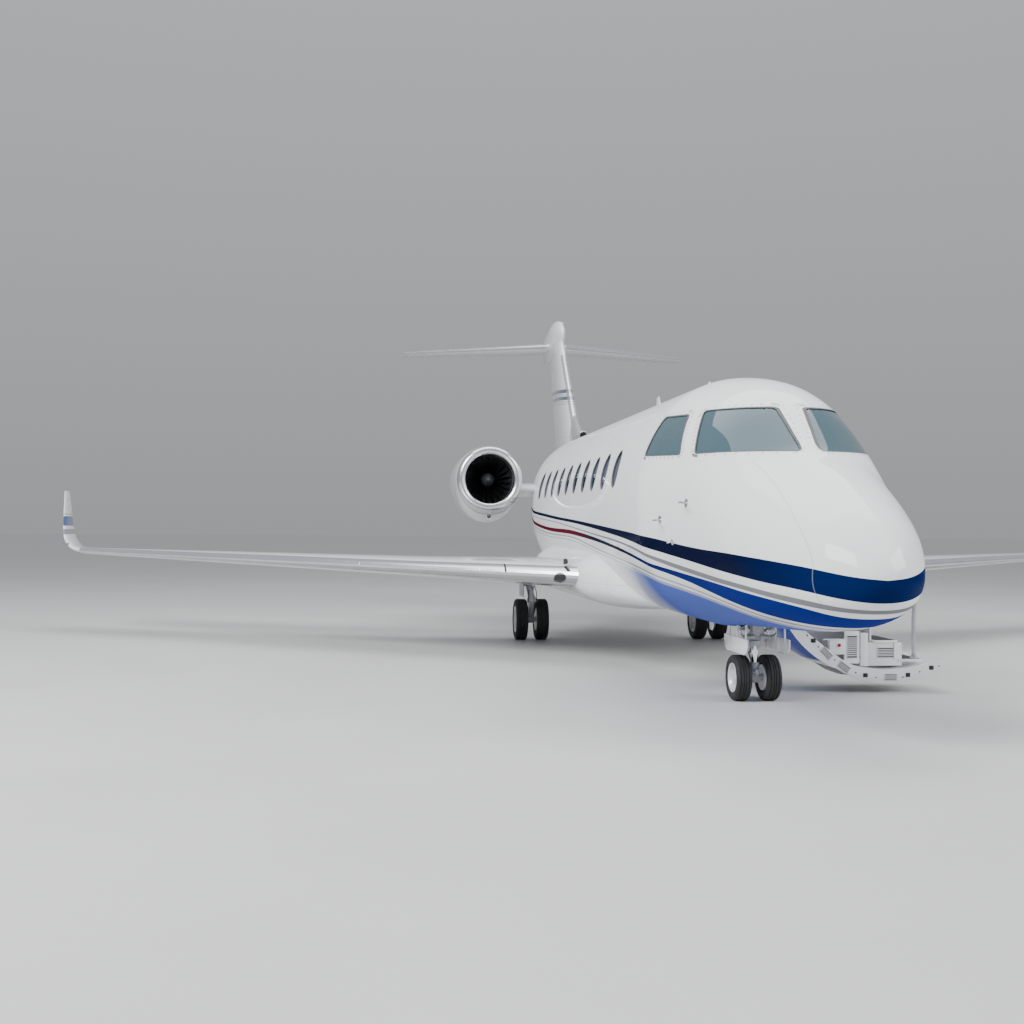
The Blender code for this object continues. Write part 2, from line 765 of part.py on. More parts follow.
def build_tail():
    fin = fin_volume("fin", WHITE)
    fillet = ((13.60, 3.40), (14.40, 3.58), (15.30, 4.10), (15.60, 3.20), (13.80, 3.20))
    fuse(fin, slab("fin_fillet", fillet, -0.05, 0.05))
    fuse(fin, rod("fin_inlet", at(0, 14.22, 3.66), at(0, 15.30, 3.62), 0.10))
    cut(fin, rod("cut_fin_inlet", at(0, 14.0, 3.664), at(0, 14.40, 3.656), 0.075))
    cut(fin, hull_cutter("cut_fin_root"))
    cut(fin, bullet_volume("cut_fin_top", SEAT_GAP))
    rudder = fin_volume("rudder", WHITE)

    def fin_point(z):
        _, edge, chord, thickness = row_at(FIN, z)
        half = aerofoil_height(TAIL_HINGE, thickness)
        return at(0, edge + TAIL_HINGE * chord, z), 2 * half

    control_surface("rudder", rudder, fin, hinge_ends(RUDDER, fin_point), 1.2)

    tailplane = tailplane_volume("tailplane", WHITE)
    fuse(tailplane, bullet_volume("bullet", 0))
    for side, word in SIDES:
        def tail_point(x):
            _, edge, chord, thickness = row_at(TAILPLANE, x)
            half = aerofoil_height(TAIL_HINGE, thickness)
            return at(side * x, edge + TAIL_HINGE * chord, TAILPLANE_Z), 2 * half

        name = f"elevator_{word}"
        ends = hinge_ends(ELEVATOR, tail_point)
        control_surface(name, tailplane_volume(name, WHITE), tailplane, ends, 0.75)


# Engines
def engine_rings(side, profile):
    rings = []
    for s, radius, hang in profile:
        ring = []
        for i in range(ENGINE_SIDES):
            angle = 2 * math.pi * (i + 0.5) / ENGINE_SIDES
            up = radius * math.sin(angle)
            if up < 0:
                up *= 1 + hang
            ring.append(at(side * ENGINE_X + radius * math.cos(angle), s, ENGINE_Z + up))
        rings.append(ring)
    return rings


def build_engine(side, word):
    duct = [(s, radius, 0) for s, radius in DUCT]
    loft(f"nacelle_{word}", engine_rings(side, (*NACELLE, *duct)), WHITE, ring_shaped=True)
    core = [(s, radius, 0) for s, radius in CORE]
    loft(f"engine_core_{word}", engine_rings(side, core), DARK)

    rings = []
    for x, chord, thickness in ((0.60, 2.75, 0.27), (1.75, 2.75, 0.25)):
        rings.append([
            at(side * x, 12.95 + along, 2.56 + up) for along, up in aerofoil(chord, thickness)
        ])
    pylon = loft(f"pylon_{word}", rings, WHITE)
    grown = [(s, radius + SEAT_GAP, hang) for s, radius, hang in NACELLE]
    cut(pylon, loft(f"cut_pylon_{word}", engine_rings(side, grown)))
    cut(pylon, hull_cutter(f"cut_pylon_root_{word}"))
    build_fan(side, word)


def build_fan(side, word):
    """A hub with a pointed spinner, and blades that twist from front to back."""
    centre = at(side * ENGINE_X, FAN_FACE, ENGINE_Z)
    pitch = 2 * math.pi / BLADE_COUNT
    # Ring of the fan: distance aft, hub radius, blade radius, twist
    table = (
        (-0.20, 0.015, 0.015, 0.0),
        (-0.03, 0.11, 0.11, 0.0),
        (0.00, FAN_HUB, FAN_RADIUS, 0.0),
        (FAN_DEPTH, FAN_HUB, FAN_RADIUS, 0.55 * pitch),
        (FAN_DEPTH + 0.02 - SEAT_GAP, 0.11, 0.11, 0.55 * pitch),
    )
    rings = []
    for aft, hub, tip, twist in table:
        ring = []
        for blade in range(BLADE_COUNT):
            for share, radius in ((0.0, hub), (0.35, tip), (0.55, tip), (0.90, hub)):
                angle = pitch * (blade + share) + twist
                offset = Vector((radius * math.cos(angle), aft, radius * math.sin(angle)))
                ring.append(centre + offset)
        rings.append(ring)
    hinge_at(loft(f"fan_{word}", rings, DARK), centre)


# Landing gear
def bay_box(name, grow, top, finish=None):
    return box(
        name, (-BAY_HALF_WIDTH - grow, BAY_START - grow, 0.4),
        (BAY_HALF_WIDTH + grow, BAY_END + grow, top), finish,
    )


def twin_wheels(name, centre, spacing, radius, half_width, finish):
    """Two tyres on one spool, which turns on the axle's line."""
    rim = 0.66 * radius
    outer = (
        (spacing + half_width - 0.03, 0.86 * rim), (spacing + half_width, rim),
        (spacing + half_width, 0.90 * radius), (spacing + half_width - 0.04, radius),
        (spacing - half_width + 0.04, radius), (spacing - half_width, 0.90 * radius),
        (spacing - half_width, rim), (spacing - half_width + 0.02, 0.06),
        (EYE_HALF + SEAT_GAP, 0.055), (EYE_HALF + SEAT_GAP, 0.032),
    )
    profile = [(-x, r) for x, r in outer] + list(outer[::-1])
    rings = turned(centre, profile, ACROSS, WHEEL_SIDES)
    return hinge_at(loft(name, rings, finish), centre)


def crosswise(name, centre, start, end, radius):
    """A round bar along X, from start to end of its centre."""
    return loft(name, turned(centre, ((start, radius), (end, radius)), ACROSS, 14))


def add_axle_eye(leg, name, centre):
    """Gives a leg's foot the ring that the wheels' spool turns in."""
    past = EYE_HALF - 0.004
    cut(leg, crosswise(f"{name}_clear_a", centre, -0.2, -past, 0.075))
    cut(leg, crosswise(f"{name}_clear_b", centre, past, 0.2, 0.075))
    fuse(leg, crosswise(f"{name}_eye", centre, -EYE_HALF, EYE_HALF, 0.062))
    cut(leg, crosswise(f"{name}_bore", centre, -0.2, 0.2, 0.037))


def build_nose_gear():
    bay = bay_box("nose_gear_bay", BAY_WALL, BAY_TOP + BAY_WALL, TRIM)
    cut(bay, bay_box("cut_bay", 0, BAY_TOP))
    keep_inside(bay, hull_volume("bay_room", RADOME_END, CABIN_END, 0.0))

    leg_top = at(0, NOSE_LEG, BAY_TOP - SEAT_GAP)
    collar = 0.66
    leg = rod("nose_gear_leg", leg_top, at(0, NOSE_LEG, collar), 0.055, STEEL, sides=12)
    fuse(leg, rod("drag_strut", at(0, NOSE_LEG, 0.80), at(0, BAY_START + 0.08, 1.16), 0.03))
    fuse(leg, box("leg_block", (-0.09, NOSE_LEG - 0.07, 0.70), (0.09, NOSE_LEG + 0.07, 0.86)))
    fuse(leg, rod("lamp_arm", at(-0.14, NOSE_LEG - 0.02, 0.722), at(0.14, NOSE_LEG - 0.02, 0.722),
                  0.022, sides=8))
    for side, word in SIDES:
        lamp = at(side * 0.145, NOSE_LEG - 0.10, 0.722)
        fuse(leg, rod(f"lamp_{word}", lamp, lamp + ALONG * 0.14, 0.055, sides=12))

    axle = at(0, NOSE_AXLE, NOSE_TYRE_RADIUS * FLAT)
    fork = rod(
        "nose_gear_fork", at(0, NOSE_LEG, collar - SEAT_GAP), at(0, NOSE_LEG, 0.36), 0.040, STEEL,
        sides=12,
    )
    fuse(fork, rod("trail_arm", at(0, NOSE_LEG - 0.01, 0.40), axle, 0.035, sides=8))
    fuse(fork, rod("steer_collar", at(0, NOSE_LEG, collar - 0.06),
                   at(0, NOSE_LEG, collar - 0.01), 0.062, sides=12))
    # Torque link side outline: distance aft of the leg, z
    link = ((0.01, 0.63), (0.16, 0.51), (0.01, 0.39), (0.01, 0.44), (0.115, 0.51), (0.01, 0.58))
    fuse(fork, slab("torque_link", [(NOSE_LEG + aft, z) for aft, z in link], -0.016, 0.016))
    add_axle_eye(fork, "nose", axle)
    hinge_at(fork, at(0, NOSE_LEG, axle.z))
    wheels = twin_wheels(
        "nose_wheels", axle, NOSE_WHEEL_X, NOSE_TYRE_RADIUS, 0.085, TYRE
    )
    wheels.parent = fork
    wheels.matrix_parent_inverse = Matrix.Translation(-fork.location)

    for side, word in SIDES:
        door = side_box(
            f"nose_gear_door_{word}", side, (BAY_HALF_WIDTH + 0.005, BAY_START, 0.54),
            (BAY_HALF_WIDTH + 0.025, BAY_END, 0.90), WHITE,
        )
        cut(door, hull_cutter(f"cut_nose_door_{word}"))


def build_main_gear(side, word):
    x = side * MAIN_GEAR_X
    axle = at(x, MAIN_AXLE, MAIN_TYRE_RADIUS * FLAT)
    top = at(side * 1.58, 10.44, TRUNNION_Z - 0.03)
    knee = at(x, 10.46, 0.66)
    leg = rod(f"main_gear_leg_{word}", knee, top, 0.055, STEEL, sides=12)
    fuse(leg, box(f"leg_head_{word}", (side * 1.58 - 0.10, 10.34, 0.94),
                  (side * 1.58 + 0.10, 10.54, TRUNNION_Z - SEAT_GAP)))
    fuse(leg, rod(f"knee_{word}", knee + Vector((0, -0.02, 0.03)), axle, 0.038))
    fuse(leg, rod(f"shock_{word}", at(x, MAIN_AXLE, 0.37), at(x, 10.52, 0.84), 0.026, sides=8))
    add_axle_eye(leg, f"main_{word}", axle)
    fuse(leg, side_box(f"gear_door_{word}", side, (1.66, 10.22, 0.72), (1.68, 10.76, 1.00)))
    fuse(leg, side_box(f"door_arm_{word}", side, (1.60, 10.42, 0.92), (1.67, 10.48, 0.96)))
    twin_wheels(f"main_wheels_{word}", axle, MAIN_WHEEL_X, MAIN_TYRE_RADIUS, 0.10, TYRE)


def main():
    for existing in list(bpy.data.objects):
        bpy.data.objects.remove(existing)
    build_cockpit()
    build_cabin()
    build_tail_fuselage()
    build_fairing()
    build_entry_stair()
    build_interior()
    for side, word in SIDES:
        build_wing(side, word)
        build_engine(side, word)
        build_main_gear(side, word)
    build_tail()
    build_nose_gear()


main()
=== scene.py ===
# %% [markdown]
# # A business jet, dressed for the camera
# The packed solids hold every size, joint and mount. This lesson gives them smooth skins,
# paint, glass, tyres and the small fittings that make up a jet parked with its stair down.
# Everything is in metres, the nose points to -Y, and port is +X. A place along the
# aeroplane is a station: metres aft of the nose tip.

# %% The frame
import math

import bmesh
import bpy
from mathutils import Matrix, Vector
from mathutils.bvhtree import BVHTree


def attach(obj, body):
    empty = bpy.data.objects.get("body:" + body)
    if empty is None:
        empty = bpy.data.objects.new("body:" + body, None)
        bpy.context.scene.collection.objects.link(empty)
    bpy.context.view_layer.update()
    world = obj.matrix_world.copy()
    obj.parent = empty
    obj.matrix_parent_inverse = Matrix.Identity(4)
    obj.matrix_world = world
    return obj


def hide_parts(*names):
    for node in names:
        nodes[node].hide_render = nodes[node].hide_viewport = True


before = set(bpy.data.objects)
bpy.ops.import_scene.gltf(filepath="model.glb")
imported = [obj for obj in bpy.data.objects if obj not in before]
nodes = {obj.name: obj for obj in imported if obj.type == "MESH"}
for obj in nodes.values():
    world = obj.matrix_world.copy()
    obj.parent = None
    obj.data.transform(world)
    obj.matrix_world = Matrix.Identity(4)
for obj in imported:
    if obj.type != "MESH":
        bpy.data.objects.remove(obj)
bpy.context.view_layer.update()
LENGTH = 20.37

# %% [markdown]
# ## Small tools
# Blender's operators work on whatever is selected, so each tool first deselects
# everything and picks its own piece. Modifiers are applied at once, which leaves
# plain meshes that export as they look.

# %% Picking and finishing
RIGHT, LEFT = -1, 1
SIDES = ((RIGHT, "right"), (LEFT, "left"))
ALONG, ACROSS, UP = Vector((0, 1, 0)), Vector((1, 0, 0)), Vector((0, 0, 1))


def at(x, s, z):
    return Vector((x, s - LENGTH / 2, z))


def new_piece(name, data):
    piece = bpy.data.objects.new(name, data)
    bpy.context.scene.collection.objects.link(piece)
    return piece


def recoat(piece, material):
    piece.data.materials.clear()
    piece.data.materials.append(material)


def pick(*pieces):
    for other in bpy.context.selected_objects:
        other.select_set(False)
    for piece in pieces:
        piece.select_set(True)
    bpy.context.view_layer.objects.active = pieces[0]


def settle(piece):
    """Leaves a piece at the origin, with its place in its mesh."""
    pick(piece)
    bpy.ops.object.transform_apply(location=True, rotation=True, scale=True)
    return piece


def apply_step(piece, kind, **settings):
    pick(piece)
    step = piece.modifiers.new(kind.title(), kind)
    for key, value in settings.items():
        setattr(step, key, value)
    bpy.ops.object.modifier_apply(modifier=step.name)
    return piece


def bevel(piece, width=0.003, segments=2, angle=35):
    return apply_step(piece, "BEVEL", width=width, segments=segments, limit_method="ANGLE",
                      angle_limit=math.radians(angle), harden_normals=False)


def carve(piece, cutter, operation="DIFFERENCE", keep=False):
    apply_step(piece, "BOOLEAN", operation=operation, solver="EXACT", object=cutter)
    if not keep:
        bpy.data.objects.remove(cutter)
    return piece


def smooth(piece, angle=35):
    pick(piece)
    bpy.ops.object.shade_smooth_by_angle(angle=math.radians(angle))
    return piece


def join(name, pieces):
    pick(*pieces)
    bpy.ops.object.join()
    whole = bpy.context.view_layer.objects.active
    whole.name = whole.data.name = name
    return whole


def copy_of(piece, name, turn):
    twin = new_piece(name, piece.data.copy())
    twin.data.transform(turn)
    return twin


def mirror(piece):
    piece.data.transform(Matrix.Diagonal((-1, 1, 1, 1)))
    piece.data.flip_normals()


def tidy(piece, gap=1e-5):
    """Merges doubles and turns every face outwards."""
    pick(piece)
    bpy.ops.object.mode_set(mode="EDIT")
    bpy.ops.mesh.select_all(action="SELECT")
    bpy.ops.mesh.remove_doubles(threshold=gap)
    bpy.ops.mesh.normals_make_consistent(inside=False)
    bpy.ops.object.mode_set(mode="OBJECT")
    return piece


print("sides:", SIDES)

# %% [markdown]
# Long skins such as a fuselage have no primitive near them. They are lofted: a ring of
# points for each station, and a quad between each pair of neighbours. A ring of one
# point makes a pole, as at the nose tip.

# %% Lofting, turning and bending
def drawn(name, bm):
    """Makes a piece from a finished bmesh."""
    mesh = bpy.data.meshes.new(name)
    bm.to_mesh(mesh)
    bm.free()
    return new_piece(name, mesh)


def loft(name, rings, loop=False):
    bm = bmesh.new()
    rows = [[bm.verts.new(point) for point in ring] for ring in rings]
    pairs = list(zip(rows, rows[1:])) + ([(rows[-1], rows[0])] if loop else [])
    for first, second in pairs:
        count = max(len(first), len(second))
        for i in range(count):
            j = (i + 1) % count
            corners = [first[i % len(first)], first[j % len(first)],
                       second[j % len(second)], second[i % len(second)]]
            bm.faces.new(list(dict.fromkeys(corners)))
    if not loop:
        for row in (rows[0], rows[-1]):
            if len(row) > 2:
                bm.faces.new(row)
    bmesh.ops.recalc_face_normals(bm, faces=bm.faces)
    return drawn(name, bm)


def turned(name, profile, centre, axis, steps=64):
    """Spins a profile of (distance along the axis, radius) round the axis."""
    spoke = UP.cross(axis).normalized() if abs(axis.z) < 0.9 else ACROSS.copy()
    points = [centre + axis * along + spoke * radius for along, radius in profile]
    mesh = bpy.data.meshes.new(name)
    mesh.from_pydata(points, [(i, i + 1) for i in range(len(points) - 1)], [])
    piece = new_piece(name, mesh)
    pick(piece)
    bpy.ops.object.mode_set(mode="EDIT")
    bpy.ops.mesh.select_all(action="SELECT")
    bpy.ops.mesh.spin(steps=steps, angle=math.tau, center=centre, axis=axis)
    bpy.ops.object.mode_set(mode="OBJECT")
    return smooth(tidy(piece))


def rod(name, start, end, radius, sides=24, edge=0.0, tip=None):
    along = end - start
    if tip is None:
        bpy.ops.mesh.primitive_cylinder_add(vertices=sides, radius=radius, depth=along.length)
    else:
        bpy.ops.mesh.primitive_cone_add(vertices=sides, radius1=radius, radius2=tip,
                                        depth=along.length)
    piece = bpy.context.object
    piece.name = piece.data.name = name
    turn = UP.rotation_difference(along).to_matrix().to_4x4()
    piece.data.transform(Matrix.Translation((start + end) / 2) @ turn)
    if edge:
        bevel(piece, edge, 2)
    return smooth(piece)


def block(name, low, high, edge=0.003, segments=2):
    """A block between two corners given as (x, station, z), its edges rounded."""
    low, high = at(*low), at(*high)
    bpy.ops.mesh.primitive_cube_add(size=1, location=(low + high) / 2)
    piece = bpy.context.object
    piece.name = piece.data.name = name
    piece.scale = high - low
    settle(piece)
    if edge:
        bevel(piece, edge, segments)
    return smooth(piece)


def bent_tube(name, points, radius, sides=10, smoothness=6):
    """A pipe, hose or rail along a smooth curve through points."""
    curve = bpy.data.curves.new(name, "CURVE")
    curve.dimensions = "3D"
    curve.bevel_depth = radius
    curve.bevel_resolution = max(1, sides // 4)
    curve.resolution_u = smoothness
    curve.use_fill_caps = True
    line = curve.splines.new("BEZIER")
    line.bezier_points.add(len(points) - 1)
    for knot, point in zip(line.bezier_points, points):
        knot.co = point
        knot.handle_left_type = knot.handle_right_type = "AUTO"
    pick(new_piece(name, curve))
    bpy.ops.object.convert(target="MESH")
    return smooth(tidy(bpy.context.object, 1e-6), 50)


def slab(name, outline, low_x, high_x, edge=0.002):
    """A side outline of (station, z) points, with its thickness across."""
    piece = loft(name, [[at(x, s, z) for s, z in outline] for x in (low_x, high_x)])
    return smooth(bevel(piece, edge, 2) if edge else piece)


made = []


def fit(piece, material, body, stands_for=()):
    """Gives a finished piece its finish, body and record slot."""
    recoat(piece, material)
    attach(piece, body)
    if stands_for:
        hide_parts(*stands_for)
    made.append(piece.name)
    return piece


print("pieces fitted so far:", len(made))

# %% [markdown]
# ## Shader sums
# A finish is worked out by sums on the place of each point. A socket is wrapped so that
# Python's own signs add the Math nodes, and every other node comes from one method.

# %% Sockets in plain sums
class Wire:
    def __init__(self, finish, socket):
        self.finish, self.socket = finish, socket

    def sum(self, operation, *others):
        settings = {"operation": operation}
        return self.finish.node("Math", settings, dict(enumerate((self, *others))))

    def __add__(self, other):
        return self.sum("ADD", other)

    def __sub__(self, other):
        return self.sum("SUBTRACT", other)

    def __mul__(self, other):
        return self.sum("MULTIPLY", other)

    def __truediv__(self, other):
        return self.sum("DIVIDE", other)

    def __rsub__(self, other):
        return self.finish.node("Math", {"operation": "SUBTRACT"}, {0: other, 1: self})

    __radd__, __rmul__ = __add__, __mul__

    def __abs__(self):
        return self.sum("ABSOLUTE")

    def most(self, *others):
        wire = self
        for other in others:
            wire = wire.sum("MAXIMUM", other)
        return wire

    def over(self, edge, soft=0.003):
        """0 below an edge and 1 above it."""
        return ((self - edge) / soft + 0.5).sum("MINIMUM", 1.0).sum("MAXIMUM", 0.0)

    def within(self, low, high, soft=0.003):
        return self.over(low, soft) * (1 - self.over(high, soft))

    def near(self, middle, width, soft=0.003):
        return 1 - abs(self - middle).over(width / 2, soft)

    def every(self, pitch, offset=0.0):
        """Distance to the nearest of evenly spaced lines."""
        return abs(((self - offset) / pitch + 0.5).sum("FRACT") - 0.5) * pitch


class Finish:
    def __init__(self, name, colour, rough, metal=0.0, **sockets):
        self.material = bpy.data.materials.new(name)
        self.material.use_nodes = True
        self.tree = self.material.node_tree
        self.shader = self.tree.nodes["Principled BSDF"]
        self.set("Base Color", (*colour, 1))
        self.set("Roughness", rough)
        self.set("Metallic", metal)
        for key, value in sockets.items():
            self.set(key.replace("_", " "), value)

    def set(self, key, value):
        self.join_up(self.shader.inputs[key], value)
        return self

    def join_up(self, socket, value):
        if isinstance(value, Wire):
            self.tree.links.new(value.socket, socket)
        else:
            socket.default_value = value

    def node(self, kind, settings, inputs, output=0):
        node = self.tree.nodes.new("ShaderNode" + kind)
        for key, value in settings.items():
            if key == "points":
                curve = node.mapping.curves[0]
                for number, point in enumerate(value):
                    knot = curve.points[number] if number < 2 else curve.points.new(*point)
                    knot.location = point
                    knot.handle_type = "AUTO_CLAMPED"
                node.mapping.update()
            else:
                setattr(node, key, value)
        for key, value in inputs.items():
            self.join_up(node.inputs[key], value)
        return Wire(self, node.outputs[output])

    def place(self, attribute=None):
        """Distance across, station and height of the point."""
        if attribute:
            spot = self.node("Attribute", {"attribute_name": attribute}, {}, "Vector")
        else:
            spot = self.node("TexCoord", {}, {}, "Object")
        x, y, z = (self.node("SeparateXYZ", {}, {0: spot}, axis) for axis in "XYZ")
        return x, y + LENGTH / 2, z

    def mix(self, share, low, high):
        ends = [end if isinstance(end, Wire) else (*end, 1) for end in (low, high)]
        settings = {"data_type": "RGBA"}
        return self.node("Mix", settings, {0: share, 6: ends[0], 7: ends[1]}, 2)

    def grain(self, scale, detail=3.0, stretch=None, rough=0.5):
        spot = self.node("TexCoord", {}, {}, "Object")
        if stretch:
            spot = self.node("Mapping", {}, {"Vector": spot, "Scale": stretch})
        inputs = {"Vector": spot, "Scale": scale, "Detail": detail, "Roughness": rough}
        return self.node("TexNoise", {}, inputs, "Fac")

    def relief(self, height, distance, strength=1.0):
        inputs = {"Height": height, "Distance": distance, "Strength": strength}
        return self.set("Normal", self.node("Bump", {}, inputs, "Normal"))


print("methods of a finish:", [word for word in vars(Finish) if not word.startswith("_")])

# %% [markdown]
# ## Fuselage shape
# The hull is a list of sections read smoothly between its rows. The nose is read by the
# square root of the station, because a rounded tip then comes out as a straight line.

# %% Smooth tables and the hull's sections
def smooth_table(rows, warp=lambda place: place):
    """Reads a table smoothly between its rows, with no overshoot."""
    places = [warp(row[0]) for row in rows]
    columns = list(zip(*[row[1:] for row in rows]))
    gaps = [b - a for a, b in zip(places, places[1:])]
    slopes = []
    for column in columns:
        rises = [(b - a) / gap for a, b, gap in zip(column, column[1:], gaps)]
        inner = [2 * a * b / (a + b) if a * b > 0 else 0.0 for a, b in zip(rises, rises[1:])]
        slopes.append([rises[0], *inner, rises[-1]])

    def read(place):
        place = min(max(warp(place), places[0]), places[-1])
        i = max(k for k in range(len(gaps)) if places[k] <= place)
        t = (place - places[i]) / gaps[i]
        out = []
        for column, slope in zip(columns, slopes):
            low, high = column[i], column[i + 1]
            start, end = slope[i] * gaps[i], slope[i + 1] * gaps[i]
            out.append(low * (2 * t ** 3 - 3 * t ** 2 + 1) + start * (t ** 3 - 2 * t ** 2 + t)
                       + high * (3 * t ** 2 - 2 * t ** 3) + end * (t ** 3 - t ** 2))
        return out

    return read


# Station, half width, lowest z, z of the widest line, highest z
HULL = (
    (0.00, 0.00, 1.44, 1.44, 1.44), (0.12, 0.27, 1.22, 1.44, 1.72),
    (0.40, 0.50, 1.08, 1.47, 1.98), (0.85, 0.695, 0.98, 1.54, 2.215),
    (1.35, 0.825, 0.925, 1.65, 2.44), (1.74, 0.895, 0.90, 1.76, 2.62),
    (2.05, 0.94, 0.885, 1.85, 2.86), (2.40, 0.985, 0.87, 1.94, 3.13),
    (2.85, 1.05, 0.845, 2.03, 3.35), (3.30, 1.13, 0.81, 2.09, 3.47),
    (3.86, 1.22, 0.77, 2.12, 3.54), (12.20, 1.22, 0.77, 2.12, 3.54),
    (13.20, 1.15, 0.93, 2.20, 3.54), (14.60, 0.97, 1.30, 2.35, 3.50),
    (16.00, 0.71, 1.75, 2.52, 3.40), (17.30, 0.46, 2.12, 2.68, 3.26),
    (18.45, 0.22, 2.42, 2.78, 3.10),
)
hull_at = smooth_table(HULL, math.sqrt)
HULL_ROUND, HULL_SIDES = 0.93, 112
NOSE_FIRST, NOSE_END, NOSE_STEPS = 0.03, 4.0, 64


def squared(value, power=HULL_ROUND):
    return math.copysign(abs(value) ** power, value)


def hull_point(s, angle, inset=0.0):
    half_width, low, wide, high = hull_at(s)
    across, up = squared(math.cos(angle)), squared(math.sin(angle))
    reach = high - wide if up > 0 else wide - low
    return at((half_width - inset) * across, s, wide + (reach - inset) * up)


def hull_ring(s, inset=0.0):
    return [hull_point(s, math.tau * i / HULL_SIDES, inset) for i in range(HULL_SIDES)]


def spaced(start, end, pitch):
    count = max(2, round((end - start) / pitch) + 1)
    return [start + (end - start) * i / (count - 1) for i in range(count)]


nose_places = [(NOSE_FIRST + (math.sqrt(NOSE_END) - NOSE_FIRST) * i / NOSE_STEPS) ** 2
               for i in range(NOSE_STEPS + 1)]
stations = nose_places + spaced(4.12, 12.08, 0.12) + spaced(12.20, 18.45, 0.12)
print("hull rings:", len(stations), "widest half width:", max(row[1] for row in HULL))

# %% [markdown]
# ## The paint
# The coat is a gloss white with a clear layer. Its faint waviness, from panels that
# were never quite flat, is what bends reflections on a real aeroplane. The stripes are
# bands between two curves of height against station, and they sweep up as they run aft.

# %% Stripe curves: (station, height) of each band's upper and lower edge
NAVY_TOP = ((0.0, 1.45), (0.12, 1.48), (0.50, 1.55), (1.50, 1.63), (2.57, 1.68), (3.94, 1.79),
            (5.2, 1.85), (7.55, 1.95), (10.58, 2.07), (13.0, 2.20), (17.3, 2.66), (20.0, 2.9))
NAVY_LOW = ((0.0, 1.23), (0.16, 1.28), (0.53, 1.35), (1.17, 1.41), (2.69, 1.54), (4.47, 1.72),
            (5.6, 1.795), (7.55, 1.90), (10.58, 2.02), (13.0, 2.15), (17.3, 2.65), (20.0, 2.9))
GREY_TOP = ((0.0, 1.17), (0.21, 1.21), (0.57, 1.27), (1.22, 1.335), (2.76, 1.46), (4.58, 1.67),
            (6.9, 1.80), (9.4, 1.93), (13.0, 2.10), (17.3, 2.60), (20.0, 2.8))
GREY_LOW = ((0.0, 1.13), (0.25, 1.17), (0.62, 1.22), (1.27, 1.29), (2.81, 1.41), (4.58, 1.64),
            (6.9, 1.78), (9.4, 1.915), (13.0, 2.09), (17.3, 2.595), (20.0, 2.8))
BLUE_TOP = ((0.0, 1.09), (0.32, 1.12), (0.64, 1.195), (1.74, 1.305), (3.11, 1.41), (5.33, 1.64),
            (8.1, 1.81), (11.3, 1.89), (13.0, 2.03), (17.3, 2.55), (20.0, 2.7))
BLUE_LOW = ((0.0, 1.00), (0.35, 1.00), (0.67, 1.015), (0.98, 1.04), (2.04, 1.165), (3.18, 1.35),
            (5.39, 1.60), (8.1, 1.745), (11.3, 1.83), (13.0, 1.97), (17.3, 2.54), (20.0, 2.7))
LINE_MID = ((0.0, 0.95), (0.62, 0.97), (1.59, 1.06), (3.29, 1.28), (3.95, 1.36), (6.94, 1.60),
            (8.14, 1.70), (11.4, 1.79), (13.0, 1.94), (17.3, 2.50), (20.0, 2.6))
BANDS = (NAVY_LOW, NAVY_TOP), (GREY_LOW, GREY_TOP), (BLUE_LOW, BLUE_TOP)
WHITE, NAVY, GREY = (0.82, 0.83, 0.84), (0.0018, 0.0045, 0.026), (0.20, 0.205, 0.22)
BLUE, MAROON, SEAM = (0.0015, 0.016, 0.19), (0.10, 0.004, 0.018), (0.30, 0.31, 0.32)


def stripe_height(finish, s, table):
    """The height of a stripe's edge at a station, finest near the nose."""
    points = [(math.sqrt(place / 20), height / 4) for place, height in table]
    share = (s.sum("MAXIMUM", 0.0) / 20).sum("SQRT")
    return finish.node("FloatCurve", {"points": points}, {"Value": share}) * 4


def gloss_coat(finish, waves=0.6, rough=0.16, bands=0.0):
    """Orange peel, panel waviness and a thin uneven film of dust."""
    dust = finish.grain(3.0, 4.0)
    finish.set("Roughness", dust * 0.10 + rough)
    finish.set("Coat Weight", (1 - dust * 0.25) * (0.80 - bands * 0.70))
    return finish.grain(1.4, 1.0) * waves + finish.grain(160.0, 1.0) * 0.006


